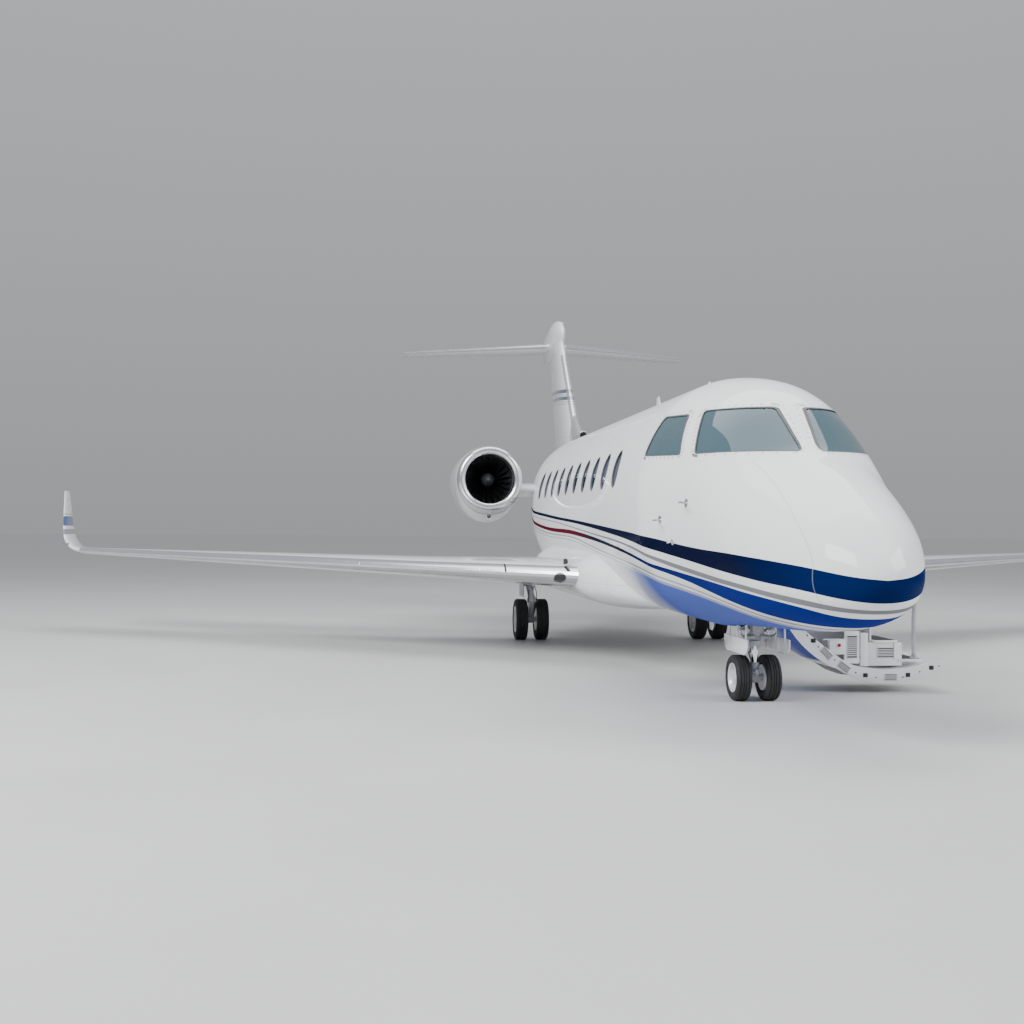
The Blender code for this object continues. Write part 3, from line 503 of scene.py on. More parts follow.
def airframe_paint(name, attribute=None):
    """White with navy, grey and blue stripes, panel seams, a radome joint and a painted blue
    reflection under the nose.
    """
    finish = Finish(name, WHITE, 0.18, Coat_Roughness=0.03, Coat_IOR=1.4,
                    Specular_IOR_Level=0.0)
    _, s, z = finish.place(attribute)
    navy, grey, blue = (z.over(stripe_height(finish, s, low))
                        * (1 - z.over(stripe_height(finish, s, top))) for low, top in BANDS)
    line = stripe_height(finish, s, LINE_MID)
    thin = z.near(line, 0.022).most(z.near(line - 0.05, 0.012))
    # Painted reflection: below the pinstripe and forward of about station 5 the skin is painted
    # bright blue, for blue mirrored from below.
    nose_blue_reflection = (1 - z.over(line - 0.06, 0.05)) * (1 - s.over(5.0, 1.5))
    girths = [s.near(place, 0.005, 0.002) for place in (3.86, 6.2, 8.9, 11.9, 14.6, 17.3)]
    laps = [z.near(height, 0.004, 0.002) * s.within(3.86, 15.5) for height in (1.12, 3.02)]
    seam = girths[0].most(*girths[1:], *laps)
    joint = s.near(0.38 + (z - 1.55).sum("MAXIMUM", 0.0).sum("POWER", 1.6) * 1.55, 0.010, 0.004)
    seam = seam.most(joint * z.within(1.2, 2.5, 0.02) * 0.7)
    dust = finish.grain(2.2, 5.0)
    colour = finish.mix(dust * 0.16, WHITE, (0.70, 0.71, 0.73))
    # The painted blue reflection under the nose goes into the colour here.
    colour = finish.mix(nose_blue_reflection * 0.90, colour, (0.004, 0.055, 0.42))
    colour = finish.mix(thin * 0.75, colour, GREY)
    tone = finish.mix(s.over(0.9, 1.2), (0.001, 0.011, 0.075), NAVY)
    colour = finish.mix(navy, colour, tone)
    colour = finish.mix(grey, colour, GREY)
    tone = finish.mix(s.over(7.4, 1.5), NAVY, MAROON)
    colour = finish.mix(blue, colour, finish.mix(s.over(3.6, 3.0), BLUE, tone))
    colour = finish.mix(seam * 0.55, colour, SEAM)
    finish.set("Base Color", colour)
    height = gloss_coat(finish, 0.6, 0.16, navy.most(blue, grey, nose_blue_reflection)) - seam * 0.6
    return finish.relief(height, 0.0012).material


def plain_gloss(name, colour, rough=0.16, waves=0.4):
    finish = Finish(name, colour, rough, Coat_Roughness=0.04)
    share = finish.grain(4.0, 5.0) * 0.22
    finish.set("Base Color", finish.mix(share, colour, tuple(part * 0.86 for part in colour)))
    return finish.relief(gloss_coat(finish, waves, rough), 0.001).material


def worn(name, colour, rough, metal=0.0, scale=14.0, depth=0.0006, dirt=0.35, **sockets):
    """A plain finish with uneven tone, fine relief and grime."""
    finish = Finish(name, colour, rough, metal, **sockets)
    patch, fine = finish.grain(scale, 5.0), finish.grain(scale * 14, 2.0)
    dark = tuple(part * 0.55 for part in colour)
    finish.set("Base Color", finish.mix((patch - 0.35) * dirt * 2, colour, dark))
    finish.set("Roughness", patch * 0.22 + (rough - 0.08))
    return finish.relief(patch * 0.3 + fine * 0.7, depth).material


def brushed(name, colour, rough, stretch):
    """Rolled or turned metal, its fine lines drawn out one way."""
    finish = Finish(name, colour, rough, 1.0)
    lines = finish.grain(9.0, 6.0, stretch)
    patch = finish.grain(5.0, 3.0)
    finish.set("Roughness", lines * 0.14 + patch * 0.10 + (rough - 0.10))
    finish.set("Base Color", finish.mix(patch * 0.35, colour, tuple(p * 0.72 for p in colour)))
    return finish.relief(lines, 0.0003).material


hull_paint = airframe_paint("hull_paint")
door_paint = airframe_paint("door_paint", "closed_place")
white_gloss = plain_gloss("white_gloss", WHITE)
gear_paint = worn("gear_paint", (0.50, 0.52, 0.55), 0.38, 0.0, 10.0, 0.0008, 0.5)
bright_metal = brushed("bright_metal", (0.78, 0.79, 0.81), 0.20, (1, 12, 1))
steel = brushed("steel", (0.55, 0.56, 0.58), 0.30, (1, 1, 14))
dark_metal = worn("dark_metal", (0.045, 0.046, 0.05), 0.42, 0.8, 9.0)
hot_metal = worn("hot_metal", (0.22, 0.19, 0.17), 0.38, 1.0, 7.0, 0.0005, 0.8)
black_rubber = worn("black_rubber", (0.018, 0.018, 0.019), 0.62, 0.0, 30.0, 0.0008)
lining = worn("lining", (0.66, 0.63, 0.57), 0.55, 0.0, 6.0, 0.0004, 0.15)
tread_black = worn("tread_black", (0.02, 0.02, 0.022), 0.85, 0.0, 220.0, 0.002)
print("finishes so far:", len(bpy.data.materials))

# %% [markdown]
# ## Glass
# Cockpit panes are heated laminates with a pale blue-green film, so they mirror the sky
# and show little of what is behind. A thin mix of clear glass and a tinted gloss keeps
# them readable from every side.

# %% Glass
def pane_glass(name, tint, clear, rough=0.02):
    finish = Finish(name, tint, rough, 0.0, Coat_Roughness=0.02, Specular_IOR_Level=0.35)
    film = finish.grain(1.1, 2.0)
    finish.set("Base Color", finish.mix(film, tint, tuple(part * 1.5 for part in tint)))
    finish.set("Alpha", 1 - film * clear)
    finish.set("Coat Weight", 0.30 - film * 0.2)
    return finish.relief(film, 0.0012).material


cockpit_glass = pane_glass("cockpit_glass", (0.045, 0.085, 0.105), 0.22)
cabin_glass = pane_glass("cabin_glass", (0.012, 0.022, 0.06), 0.18)
gasket = worn("gasket", (0.10, 0.105, 0.11), 0.5, 0.0, 20.0)
print("finishes with glass:", len(bpy.data.materials))


# %% [markdown]
# ## Fuselage skin
# One closed skin runs from the nose tip to the tail's end, with an inner wall from the
# forward bulkhead to the tail. Blender's Boolean then opens it for the panes, the entry
# door and the nose wheel bay. A single fine skin keeps reflections unbroken where the
# solids are parted.

# %% Openings in the skin
WINDSHIELD = ((0.09, 1.72, 2.600), (0.90, 2.60, 2.615), (0.71, 2.93, 3.085), (0.12, 2.34, 3.075))
SIDE_WINDOW = ((0.97, 2.90, 2.62), (1.12, 3.79, 2.655), (0.93, 3.72, 3.085), (0.80, 3.16, 3.065))
WINDOW_FIRST, WINDOW_PITCH, WINDOW_Z = 5.25, 0.731, 2.58
DOOR_START, DOOR_END = 3.90, 4.74
DOOR_LOW, DOOR_HIGH = math.radians(-68), math.radians(26)
WALL_REACH = 1.3  # a length along the door's wall, divided by this, is an angle
CABIN_WALL, TAIL_WALL = 0.09, 0.05


def rounded(corners, radius, steps=6):
    """A four-cornered outline with its corners drawn round."""
    points = []
    for i, corner in enumerate(corners):
        before, after = corners[i - 1], corners[(i + 1) % len(corners)]
        start = corner + (before - corner).normalized() * radius
        end = corner + (after - corner).normalized() * radius
        for k in range(steps + 1):
            t = k / steps
            points.append(start * (1 - t) ** 2 + corner * 2 * t * (1 - t) + end * t ** 2)
    return points


def pane_outline(corners, side, grow, radius=0.05):
    points = [at(side * x, s, z) for x, s, z in corners]
    centre = sum(points, Vector()) / 4
    normal = (points[2] - points[0]).cross(points[3] - points[1])
    normal.z = 0
    normal = normal.normalized() * math.copysign(1, normal.x * side)
    grown = [p + (p - centre).normalized() * grow for p in points]
    return rounded(grown, radius + max(grow, 0)), normal


def pane_prism(name, corners, side, grow, depth=0.42):
    points, normal = pane_outline(corners, side, grow)
    return loft(name, [[p - normal * depth for p in points], [p + normal * depth for p in points]])


def oval(side, number, grow, x):
    s = WINDOW_FIRST + WINDOW_PITCH * number
    ring = []
    for i in range(40):
        angle = math.tau * i / 40
        along = (0.165 + grow) * squared(math.cos(angle), 0.92)
        up = (0.225 + grow) * squared(math.sin(angle), 0.92)
        ring.append(at(side * x, s + along, WINDOW_Z + up))
    return ring


def oval_prism(name, side, number, grow):
    return loft(name, [oval(side, number, grow, 0.8), oval(side, number, grow, 1.5)])


def door_block(name, gap, inner, outer, sill=0.0, steps=24, across=10):
    """The part of the port wall that the entry door takes, in its closed place."""
    low, high = DOOR_LOW - sill / WALL_REACH, DOOR_HIGH
    rings = []
    for s in spaced(DOOR_START + gap, DOOR_END - gap, (DOOR_END - DOOR_START) / across):
        ring = []
        for inset, order in ((outer, range(steps + 1)), (inner, range(steps, -1, -1))):
            for i in order:
                share = i / steps
                angle = low + (high - low) * share + (gap / WALL_REACH) * (1 - 2 * share)
                ring.append(hull_point(s, angle, inset))
        rings.append(ring)
    return loft(name, rings)


window_spots = [(side, number) for side in (RIGHT, LEFT) for number in range(10)
                if side == RIGHT or number > 0]
cutters = [oval_prism(f"cut_oval_{number}_{side}", side, number, 0.0)
           for side, number in window_spots]
for side, word in SIDES:
    cutters.append(pane_prism(f"cut_windshield_{word}", WINDSHIELD, side, 0.0))
    cutters.append(pane_prism(f"cut_side_{word}", SIDE_WINDOW, side, 0.0))
cutters.append(door_block("cut_door", 0.0, 0.15, -0.06, 0.022))
cutters.append(block("cut_bay", (-0.21, 2.95, 0.4), (0.21, 3.78, 1.2), edge=0))
print("openings to cut:", len(cutters))

# %% The skin
rings = [[at(0, 0, 1.44)]] + [hull_ring(s) for s in stations]
inner = [hull_ring(s, CABIN_WALL if s < 12.3 else TAIL_WALL) for s in stations
         if 1.72 < s < 17.28]
outer_skin = loft("fuselage_skin", rings)
inner_skin = loft("hull_room", inner)
carve(outer_skin, inner_skin)
skin_tree = BVHTree.FromPolygons([v.co for v in outer_skin.data.vertices],
                                 [p.vertices for p in outer_skin.data.polygons])
for cutter in cutters:
    carve(outer_skin, cutter)
smooth(outer_skin, 24)
fit(outer_skin, hull_paint, "root",
    ("radome", "cockpit_section", "cabin_section", "aft_section", "tail_cone"))
outer_skin.data.materials.append(lining)
for face in outer_skin.data.polygons:
    centre = face.center
    s = centre.y + LENGTH / 2
    if 1.75 < s < 17.3:
        half_width, low, wide, high = hull_at(s)
        reach = (high if centre.z > wide else wide * 2 - low) - wide
        far = (abs(centre.x) / half_width) ** 2.15 + (abs(centre.z - wide) / reach) ** 2.15
        if far < 0.93 and face.normal.dot(Vector((centre.x, 0, centre.z - wide))) < 0:
            face.material_index = 1
print("skin faces:", len(outer_skin.data.polygons))

# %% [markdown]
# ## Panes, gaskets and fasteners
# Each pane is cut from a thin copy of the skin, so that it has the skin's own curve. A
# dark gasket frames it, and rows of screws hold the frames, as on the real nose.

# %% Cockpit panes
def skin_shell(name, start, end, outer, inner):
    places = [start] + [s for s in stations if start < s < end] + [end]
    rings = [hull_ring(s, outer) for s in places] + [hull_ring(s, inner) for s in reversed(places)]
    return loft(name, rings, loop=True)


def on_skin(point, direction):
    """The skin's surface in front of a point, and its outward normal."""
    spot, normal, _, _ = skin_tree.ray_cast(point + direction * 0.5, -direction)
    return (spot, normal) if spot else (None, None)


def screws(name, spots, radius=0.009):
    """Low domed heads, six sides each, all in one piece."""
    bm = bmesh.new()
    for spot, normal in spots:
        first = normal.orthogonal().normalized()
        second = normal.cross(first)
        rows = []
        for level, size in ((-0.002, 1.0), (0.0010, 0.9), (0.0020, 0.5)):
            rows.append([bm.verts.new(spot + normal * level + (
                first * math.cos(math.tau * i / 6) + second * math.sin(math.tau * i / 6))
                * radius * size) for i in range(6)])
        for low, high in zip(rows, rows[1:]):
            for i in range(6):
                bm.faces.new((low[i], low[(i + 1) % 6], high[(i + 1) % 6], high[i]))
        bm.faces.new(rows[-1])
        bm.faces.new(rows[0][::-1])
    return drawn(name, bm)


SCREW_PITCH = 0.035
screw_metal = worn("screw_metal", (0.46, 0.47, 0.48), 0.35, 0.8, 30.0)
heads = []
for side, word in SIDES:
    for corners, what in ((WINDSHIELD, "windshield"), (SIDE_WINDOW, "side_window")):
        pane = skin_shell(f"{what}_pane_{word}", 1.5, 3.84, 0.007, 0.034)
        carve(pane, pane_prism("form", corners, side, -0.004), "INTERSECT")
        fit(smooth(pane), cockpit_glass, "root", (f"{what}_{word}",))
        frame_ring = skin_shell(f"{what}_gasket_{word}", 1.5, 3.86, -0.002, 0.012)
        carve(frame_ring, pane_prism("form", corners, side, 0.012), "INTERSECT")
        carve(frame_ring, pane_prism("hole", corners, side, -0.014))
        fit(smooth(frame_ring), gasket, "root")
        for grow, shift in ((0.045, 0.0), (0.075, 0.5)):
            outline, normal = pane_outline(corners, side, grow)
            run = [a.lerp(b, t / 8) for a, b in zip(outline, outline[1:] + outline[:1])
                   for t in range(8)]
            walked = shift * SCREW_PITCH
            for a, b in zip(run, run[1:] + run[:1]):
                walked += (b - a).length
                if walked > SCREW_PITCH:
                    walked -= SCREW_PITCH
                    spot, out = on_skin(b, normal)
                    if spot and abs(spot.x) > 0.045 and spot.y < at(0, 3.84, 0).y:
                        heads.append((spot, out))
fit(screws("windshield_screws", heads), screw_metal, "root")
print("cockpit screws:", len(heads))

# %% Cabin windows
for side, word in SIDES:
    panes, trims = [], []
    for number in [n for s, n in window_spots if s == side]:
        s = WINDOW_FIRST + WINDOW_PITCH * number
        pane = skin_shell(f"cabin_pane_{number}", s - 0.3, s + 0.3, 0.012, 0.030)
        panes.append(carve(pane, oval_prism("form", side, number, -0.002), "INTERSECT"))
        trim = skin_shell(f"window_trim_{number}", s - 0.3, s + 0.3, -0.0015, 0.020)
        carve(trim, oval_prism("form", side, number, 0.007), "INTERSECT")
        trims.append(carve(trim, oval_prism("hole", side, number, -0.012)))
    whole = join(f"cabin_panes_{word}", panes)
    fit(smooth(whole), cabin_glass, "root", (f"cabin_windows_{word}",))
    fit(smooth(join(f"window_frames_{word}", trims)), gasket, "root")
print("cabin windows:", len(window_spots))

# %% [markdown]
# ## Wing
# The wing is lofted from a streamlined section, then each flap, aileron and spoiler is
# cut out of it along the same hinge lines as the solids, so that they still turn freely.
# The winglet is where the sections lean over until they stand upright.

# %% Sections of the wing and tail
WING = (
    (1.00, 6.71, 4.25, 1.20, 0.445, 0), (3.40, 8.36, 2.86, 1.26, 0.30, 0),
    (9.05, 12.22, 1.02, 1.40, 0.105, 6), (9.27, 12.40, 0.97, 1.45, 0.085, 30),
    (9.42, 12.55, 0.88, 1.60, 0.070, 62), (9.49, 12.74, 0.76, 1.80, 0.058, 78),
    (9.5835, 13.20, 0.36, 2.45, 0.030, 80),
)
FIN = ((3.05, 14.28, 3.37, 0.36), (6.05, 17.18, 1.79, 0.20))
TAILPLANE = ((0.00, 17.75, 1.75, 0.19), (3.41, 19.45, 0.92, 0.09))
TAIL_LEVEL = 5.95
CHORD_SHARES = [(1 - math.cos(math.pi * i / 22)) / 2 for i in range(23)]
COARSE_SHARES = (0.0, 0.02, 0.08, 0.2, 0.4, 0.6, 0.8, 1.0)


def half_height(share, thickness):
    return 5 * thickness * (0.2969 * math.sqrt(share) - 0.126 * share - 0.3516 * share ** 2
                            + 0.2843 * share ** 3 - 0.1015 * share ** 4)


def section(chord, thickness):
    top = [(share * chord, half_height(share, thickness)) for share in CHORD_SHARES]
    return top + [(along, -height) for along, height in top[:0:-1]]


def row_at(table, place):
    for low, high in zip(table, table[1:]):
        if place <= high[0]:
            break
    share = (place - low[0]) / (high[0] - low[0])
    return [a + (b - a) * share for a, b in zip(low, high)]


def solid_half(share, thickness):
    """Half the thickness of the solids' coarser section, which sets the hinges."""
    table = [(part, half_height(part, thickness)) for part in COARSE_SHARES]
    return row_at(table, share)[1]


winglet_at = smooth_table([(i, *row) for i, row in enumerate(WING[2:])])


def wing_rows():
    rows = [row_at(WING, x) for x in (1.0, 1.7, 2.4, 3.1, 3.4, 4.4, 5.4, 6.4, 7.4, 8.3, 8.8)]
    return rows + [winglet_at(i / 6) for i in range(25)]


def wing_whole(name, side):
    rings = []
    rows = wing_rows()
    tip = list(rows[-1])
    for share in (0.5, 0.15):
        rows.append([tip[0], tip[1] + 0.02, tip[2] * 0.96, tip[3] + 0.004, tip[4] * share, tip[5]])
    for x, edge, chord, z, thickness, cant in rows:
        lean, rise = math.sin(math.radians(cant)), math.cos(math.radians(cant))
        rings.append([at(side * (x - up * lean), edge + along, z + up * rise)
                      for along, up in section(chord, thickness)])
    return loft(name, rings)


def fin_whole(name):
    rings = []
    for z in (3.05, 3.6, 4.2, 4.8, 5.4, 6.05):
        _, edge, chord, thickness = row_at(FIN, z)
        rings.append([at(up, edge + along, z) for along, up in section(chord, thickness)])
    return loft(name, rings)


def tailplane_whole(name):
    rings = []
    for x in (-3.41, -3.39, -3.3, -2.2, -1.1, 0, 1.1, 2.2, 3.3, 3.39, 3.41):
        _, edge, chord, thickness = row_at(TAILPLANE, abs(x))
        flat = 0.3 if abs(x) == 3.41 else (0.8 if abs(x) == 3.39 else 1)
        rings.append([at(x, edge + along, TAIL_LEVEL + up * flat)
                      for along, up in section(chord, thickness)])
    return loft(name, rings)


print("wing sections:", len(wing_rows()))

# %% Hinged surfaces
MOVING_GAP, END_GAP = 0.010, 0.012
PIN_OUT, PIN_IN, PIN_RADIUS = 0.0117, 0.05, 0.010
WING_HINGE, TAIL_HINGE, HINGE_FULLNESS = 0.77, 0.72, 1.15


def surface_block(name, ends, reach, grow):
    """A block behind a hinge line, with a round nose about that line."""
    (start, start_radius), (end, end_radius) = ends
    axis = (end - start).normalized()
    aft = (ALONG - axis * axis.dot(ALONG)).normalized()
    up = axis.cross(aft)
    end_gap = END_GAP if grow else 0
    rings = []
    for point, radius in ((start - axis * end_gap, start_radius + grow),
                          (end + axis * end_gap, end_radius + grow)):
        ring = [point + aft * reach + up * radius]
        for i in range(17):
            angle = math.pi / 2 + math.pi * i / 16
            ring.append(point + (aft * math.cos(angle) + up * math.sin(angle)) * radius)
        ring.append(point + aft * reach - up * radius)
        rings.append(ring)
    return loft(name, rings)


def hinged(name, whole, fixed, ends, reach, material):
    """Cuts a surface out of its wing or fin; both keep the hinge's round gap."""
    carve(whole, surface_block("form", ends, reach, 0), "INTERSECT")
    carve(fixed, surface_block("hole", ends, reach, MOVING_GAP))
    (start, _), (end, _) = ends
    axis = (end - start).normalized()
    pins = [rod("pin", start - axis * PIN_OUT, start + axis * PIN_IN, PIN_RADIUS, 16),
            rod("pin", end - axis * PIN_IN, end + axis * PIN_OUT, PIN_RADIUS, 16)]
    piece = join(name + "_skin", [whole, *pins])
    return fit(smooth(piece, 28), material, name, (name,))


def wing_spot(side, share, x):
    _, edge, chord, z, thickness, _ = row_at(WING, x)
    return at(side * x, edge + share * chord, z), 2 * solid_half(share, thickness)


print("hinge gap in metres:", MOVING_GAP)

# %% Paint for the wing, fin and engines
def edge_metal(finish, ahead, depth, lines):
    """White paint with a bare polished strip along the front edge."""
    strip = 1 - ahead.over(depth, 0.002)
    seam = lines[0].most(*lines[1:])
    patch, fine = finish.grain(5.0, 4.0), finish.grain(14.0, 6.0, (1, 10, 10))
    colour = finish.mix(patch * 0.22, WHITE, (0.66, 0.67, 0.69))
    return strip, seam, patch, fine, colour


def half_bare(finish, colour, bare, patch, fine, height):
    """Paint that gives way to polished metal where the bare share is 1."""
    finish.set("Base Color", colour).set("Metallic", bare).set("Coat Weight", 1 - bare)
    finish.set("Roughness", patch * 0.12 + fine * 0.08 + 0.12)
    return finish.relief(height, 0.001).material


def wing_paint():
    finish = Finish("wing_paint", WHITE, 0.18, Coat_Roughness=0.04)
    x, s, z = finish.place()
    out = abs(x)
    ahead = s - (out * 0.6845 + 6.026)
    strip, seam, patch, fine, colour = edge_metal(
        finish, ahead, 0.17, [out.near(p, 0.006, 0.003) for p in (1.9, 2.6, 4.3, 6.1, 7.8, 9.0)])
    strip = strip * (1 - out.over(9.12, 0.02))
    share = ahead / (4.25 - (out - 1) * 0.36)
    seam = seam.most(*(share.near(place, 0.0025, 0.001) for place in (0.16, 0.60)))
    upright = out.over(9.30, 0.04)
    blue = z.within(1.83, 2.00, 0.006) * upright
    grey = z.within(1.68, 1.77, 0.006).most(z.within(2.03, 2.045, 0.004)) * upright
    colour = finish.mix(blue, colour, (0.010, 0.055, 0.22))
    colour = finish.mix(grey, colour, (0.20, 0.22, 0.25))
    colour = finish.mix(seam * 0.5, colour, SEAM)
    colour = finish.mix(strip, colour, finish.mix(patch, (0.80, 0.81, 0.83), (0.62, 0.63, 0.66)))
    height = finish.grain(1.6, 1.0) * 0.5 - seam * 0.6 + fine * 0.03
    return half_bare(finish, colour, strip, patch, fine, height)


def fin_paint():
    finish = Finish("fin_paint", WHITE, 0.18, Coat_Roughness=0.04)
    _, s, z = finish.place()
    level = z - (s - 16) * 0.07
    ahead = s - (z * 0.9667 + 11.3317)
    strip, seam, patch, fine, colour = edge_metal(
        finish, ahead, 0.10, [level.near(p, 0.006, 0.003) for p in (3.75, 5.45)])
    upright = (1 - (z - 5.6).over(0.0, 0.01)) * (z - 3.6).over(0.0, 0.01)
    strip = strip * upright
    navy = level.within(4.69, 4.77).most(level.within(4.54, 4.615)) * upright
    thin = level.near(4.652, 0.012).most(
        level.near(4.500, 0.010), level.near(4.455, 0.010)) * upright
    colour = finish.mix(navy, colour, (0.012, 0.04, 0.13))
    colour = finish.mix(thin, colour, (0.12, 0.16, 0.24))
    colour = finish.mix(seam * 0.5 * upright, colour, SEAM)
    colour = finish.mix(strip * 0.6, colour, (0.66, 0.67, 0.69))
    height = finish.grain(1.6, 1.0) * 0.5 - seam * 0.5 * upright
    return half_bare(finish, colour, strip * 0.8, patch, fine, height)


def tailplane_paint():
    finish = Finish("tailplane_paint", WHITE, 0.18, Coat_Roughness=0.04)
    x, s, z = finish.place()
    out = abs(x)
    ahead = s - (out * 0.4985 + 17.75)
    strip, seam, patch, fine, colour = edge_metal(
        finish, ahead, 0.07, [out.near(p, 0.005, 0.003) for p in (0.9, 2.1, 3.3)])
    strip = strip * out.over(0.22, 0.01) * (1 - abs(z - TAIL_LEVEL).over(0.12, 0.01))
    colour = finish.mix(seam * 0.5, colour, SEAM)
    colour = finish.mix(strip, colour, (0.70, 0.71, 0.73))
    height = finish.grain(1.6, 1.0) * 0.5 - seam * 0.4
    return half_bare(finish, colour, strip, patch, fine, height)


wing_coat, fin_coat, tail_coat = wing_paint(), fin_paint(), tailplane_paint()
print("finishes with the wing's:", len(bpy.data.materials))

# %% Wings
for side, word in SIDES:
    wing = wing_whole(f"wing_skin_{word}", side)
    for what, span in (("flap_inboard", (2.05, 3.36)), ("flap_outboard", (3.56, 6.35)),
                       ("aileron", (6.50, 8.75))):
        ends = []
        for x in span:
            point, thickness = wing_spot(side, WING_HINGE, x)
            ends.append((point, 0.5 * thickness * HINGE_FULLNESS))
        hinged(f"{what}_{word}", wing_whole("part", side), wing, ends, 1.3, wing_coat)
    recess = []
    for level in (0.06, -0.032):
        ring = []
        for x, share, aft, out in ((3.75, 0.62, -0.012, -END_GAP), (6.20, 0.62, -0.012, END_GAP),
                                   (6.20, 0.705, 0.010, END_GAP), (3.75, 0.705, 0.010, -END_GAP)):
            point, thickness = wing_spot(side, share, x)
            ring.append(point + Vector((side * out, aft, thickness / 2 + level)))
        recess.append(ring)
    carve(wing, loft("recess", recess))
    trunnion = block("trunnion", (1.42, 10.25, 1.0204), (1.72, 10.62, 1.22), 0.01)
    if side == RIGHT:
        mirror(trunnion)
    wing = join(f"wing_skin_{word}", [wing, trunnion])
    fit(smooth(wing, 28), wing_coat, "root", (f"wing_{word}",))
    recoat(nodes[f"spoiler_{word}"], wing_coat)
    print("wing", word, "faces", len(wing.data.polygons))

# %% Fin, rudder, tailplane, bullet and elevators
fin = fin_whole("fin_skin")


def fin_spot(z):
    _, edge, chord, thickness = row_at(FIN, z)
    return (at(0, edge + TAIL_HINGE * chord, z),
            solid_half(TAIL_HINGE, thickness) * HINGE_FULLNESS)


hinged("rudder", fin_whole("part"), fin, [fin_spot(4.05), fin_spot(5.35)], 1.2, fin_coat)
tail = tailplane_whole("tailplane_skin")
for side, word in SIDES:
    ends = []
    for x in (0.36, 3.22):
        _, edge, chord, thickness = row_at(TAILPLANE, x)
        ends.append((at(side * x, edge + TAIL_HINGE * chord, TAIL_LEVEL),
                     solid_half(TAIL_HINGE, thickness) * HINGE_FULLNESS))
    hinged(f"elevator_{word}", tailplane_whole("part"), tail, ends, 0.75, tail_coat)

BULLET = ((16.95, 0.0, 6.12, 0.0), (17.02, 0.055, 6.125, 0.115), (17.18, 0.10, 6.13, 0.22),
          (17.55, 0.16, 6.12, 0.35), (17.90, 0.18, 6.10, 0.396), (18.60, 0.18, 6.03, 0.36),
          (19.30, 0.13, 5.97, 0.26), (19.90, 0.07, 5.95, 0.14), (20.25, 0.0, 5.95, 0.0))
BULLET_START, BULLET_LENGTH, BULLET_STEPS = 16.95, 3.3, 40
bullet_at = smooth_table(BULLET, lambda s: math.sqrt(max(s - BULLET_START, 0)))
rings = []
for i in range(BULLET_STEPS + 1):
    s = BULLET_START + (math.sqrt(BULLET_LENGTH) * i / BULLET_STEPS) ** 2
    half_width, z, tall = bullet_at(s)
    if i in (0, BULLET_STEPS):
        rings.append([at(0, s, z)])
        continue
    rings.append([at(half_width * math.cos(math.tau * k / 32), s,
                     z + tall * math.sin(math.tau * k / 32)) for k in range(32)])
bullet = loft("bullet", rings)
tail = join("tailplane_skin", [tail, bullet])
fit(smooth(tail, 28), tail_coat, "root", ("tailplane",))

fillet_rows = ((13.55, 0.02, 3.50), (13.9, 0.075, 3.54), (14.3, 0.115, 3.66), (14.7, 0.135, 3.84),
               (15.2, 0.145, 4.10), (15.7, 0.10, 4.30))
rings = []
for s, half, top in fillet_rows:
    rings.append([at(half * math.cos(math.pi * k / 16), s,
                     3.3 + (top - 3.3) * math.sin(math.pi * k / 16)) for k in range(17)])
fillet = loft("fin_fillet", rings)
scoop = turned("fin_scoop", ((0.55, 0.0), (0.55, 0.055), (0.10, 0.066), (0.0, 0.074),
                             (-0.012, 0.082), (0.0, 0.092), (0.15, 0.104), (0.6, 0.104),
                             (1.0, 0.08), (1.1, 0.0)),
               at(0, 14.22, 3.66), Vector((0, 1, -0.037)).normalized(), 40)
fin = join("fin_skin", [fin, fillet, scoop])
fit(smooth(fin, 28), fin_coat, "root", ("fin",))
print("tail faces", len(fin.data.polygons) + len(tail.data.polygons))

# %% [markdown]
# ## Belly fairing and engines
# The fairing is a second hull under the first, and only its outside shows. Each nacelle
# is lofted from rings whose lower half hangs a little, with a polished lip at the front.

# %% Belly fairing
FAIRING = (
    (5.4, 0.40, 0.84, 1.05), (6.2, 1.08, 0.80, 1.46), (7.0, 1.34, 0.745, 1.62),
    (8.4, 1.37, 0.73, 1.66), (10.6, 1.38, 0.73, 1.66), (11.6, 1.30, 0.75, 1.62),
    (12.4, 1.08, 0.81, 1.58), (13.4, 0.58, 1.04, 1.40),
)
FAIRING_ROUND = 0.72
fairing_at = smooth_table(FAIRING)
rings = []
for s in spaced(5.4, 13.4, 0.16):
    half_width, low, high = fairing_at(s)
    middle, tall = (low + high) / 2, (high - low) / 2
    rings.append([at(half_width * squared(math.cos(math.tau * i / 96), FAIRING_ROUND), s,
                     middle + tall * squared(math.sin(math.tau * i / 96), FAIRING_ROUND))
                  for i in range(96)])
fairing = loft("belly_fairing", rings)
carve(fairing, loft("hull_core", [hull_ring(s, 0.012) for s in stations if 3.0 < s < 16]))
fit(smooth(fairing, 30), hull_paint, "root", ("wing_body_fairing",))
print("fairing faces:", len(fairing.data.polygons))

# %% Engine finishes
ENGINE_X, ENGINE_Z, FAN_FACE, LIP_END = 2.00, 2.73, 13.02, 12.70


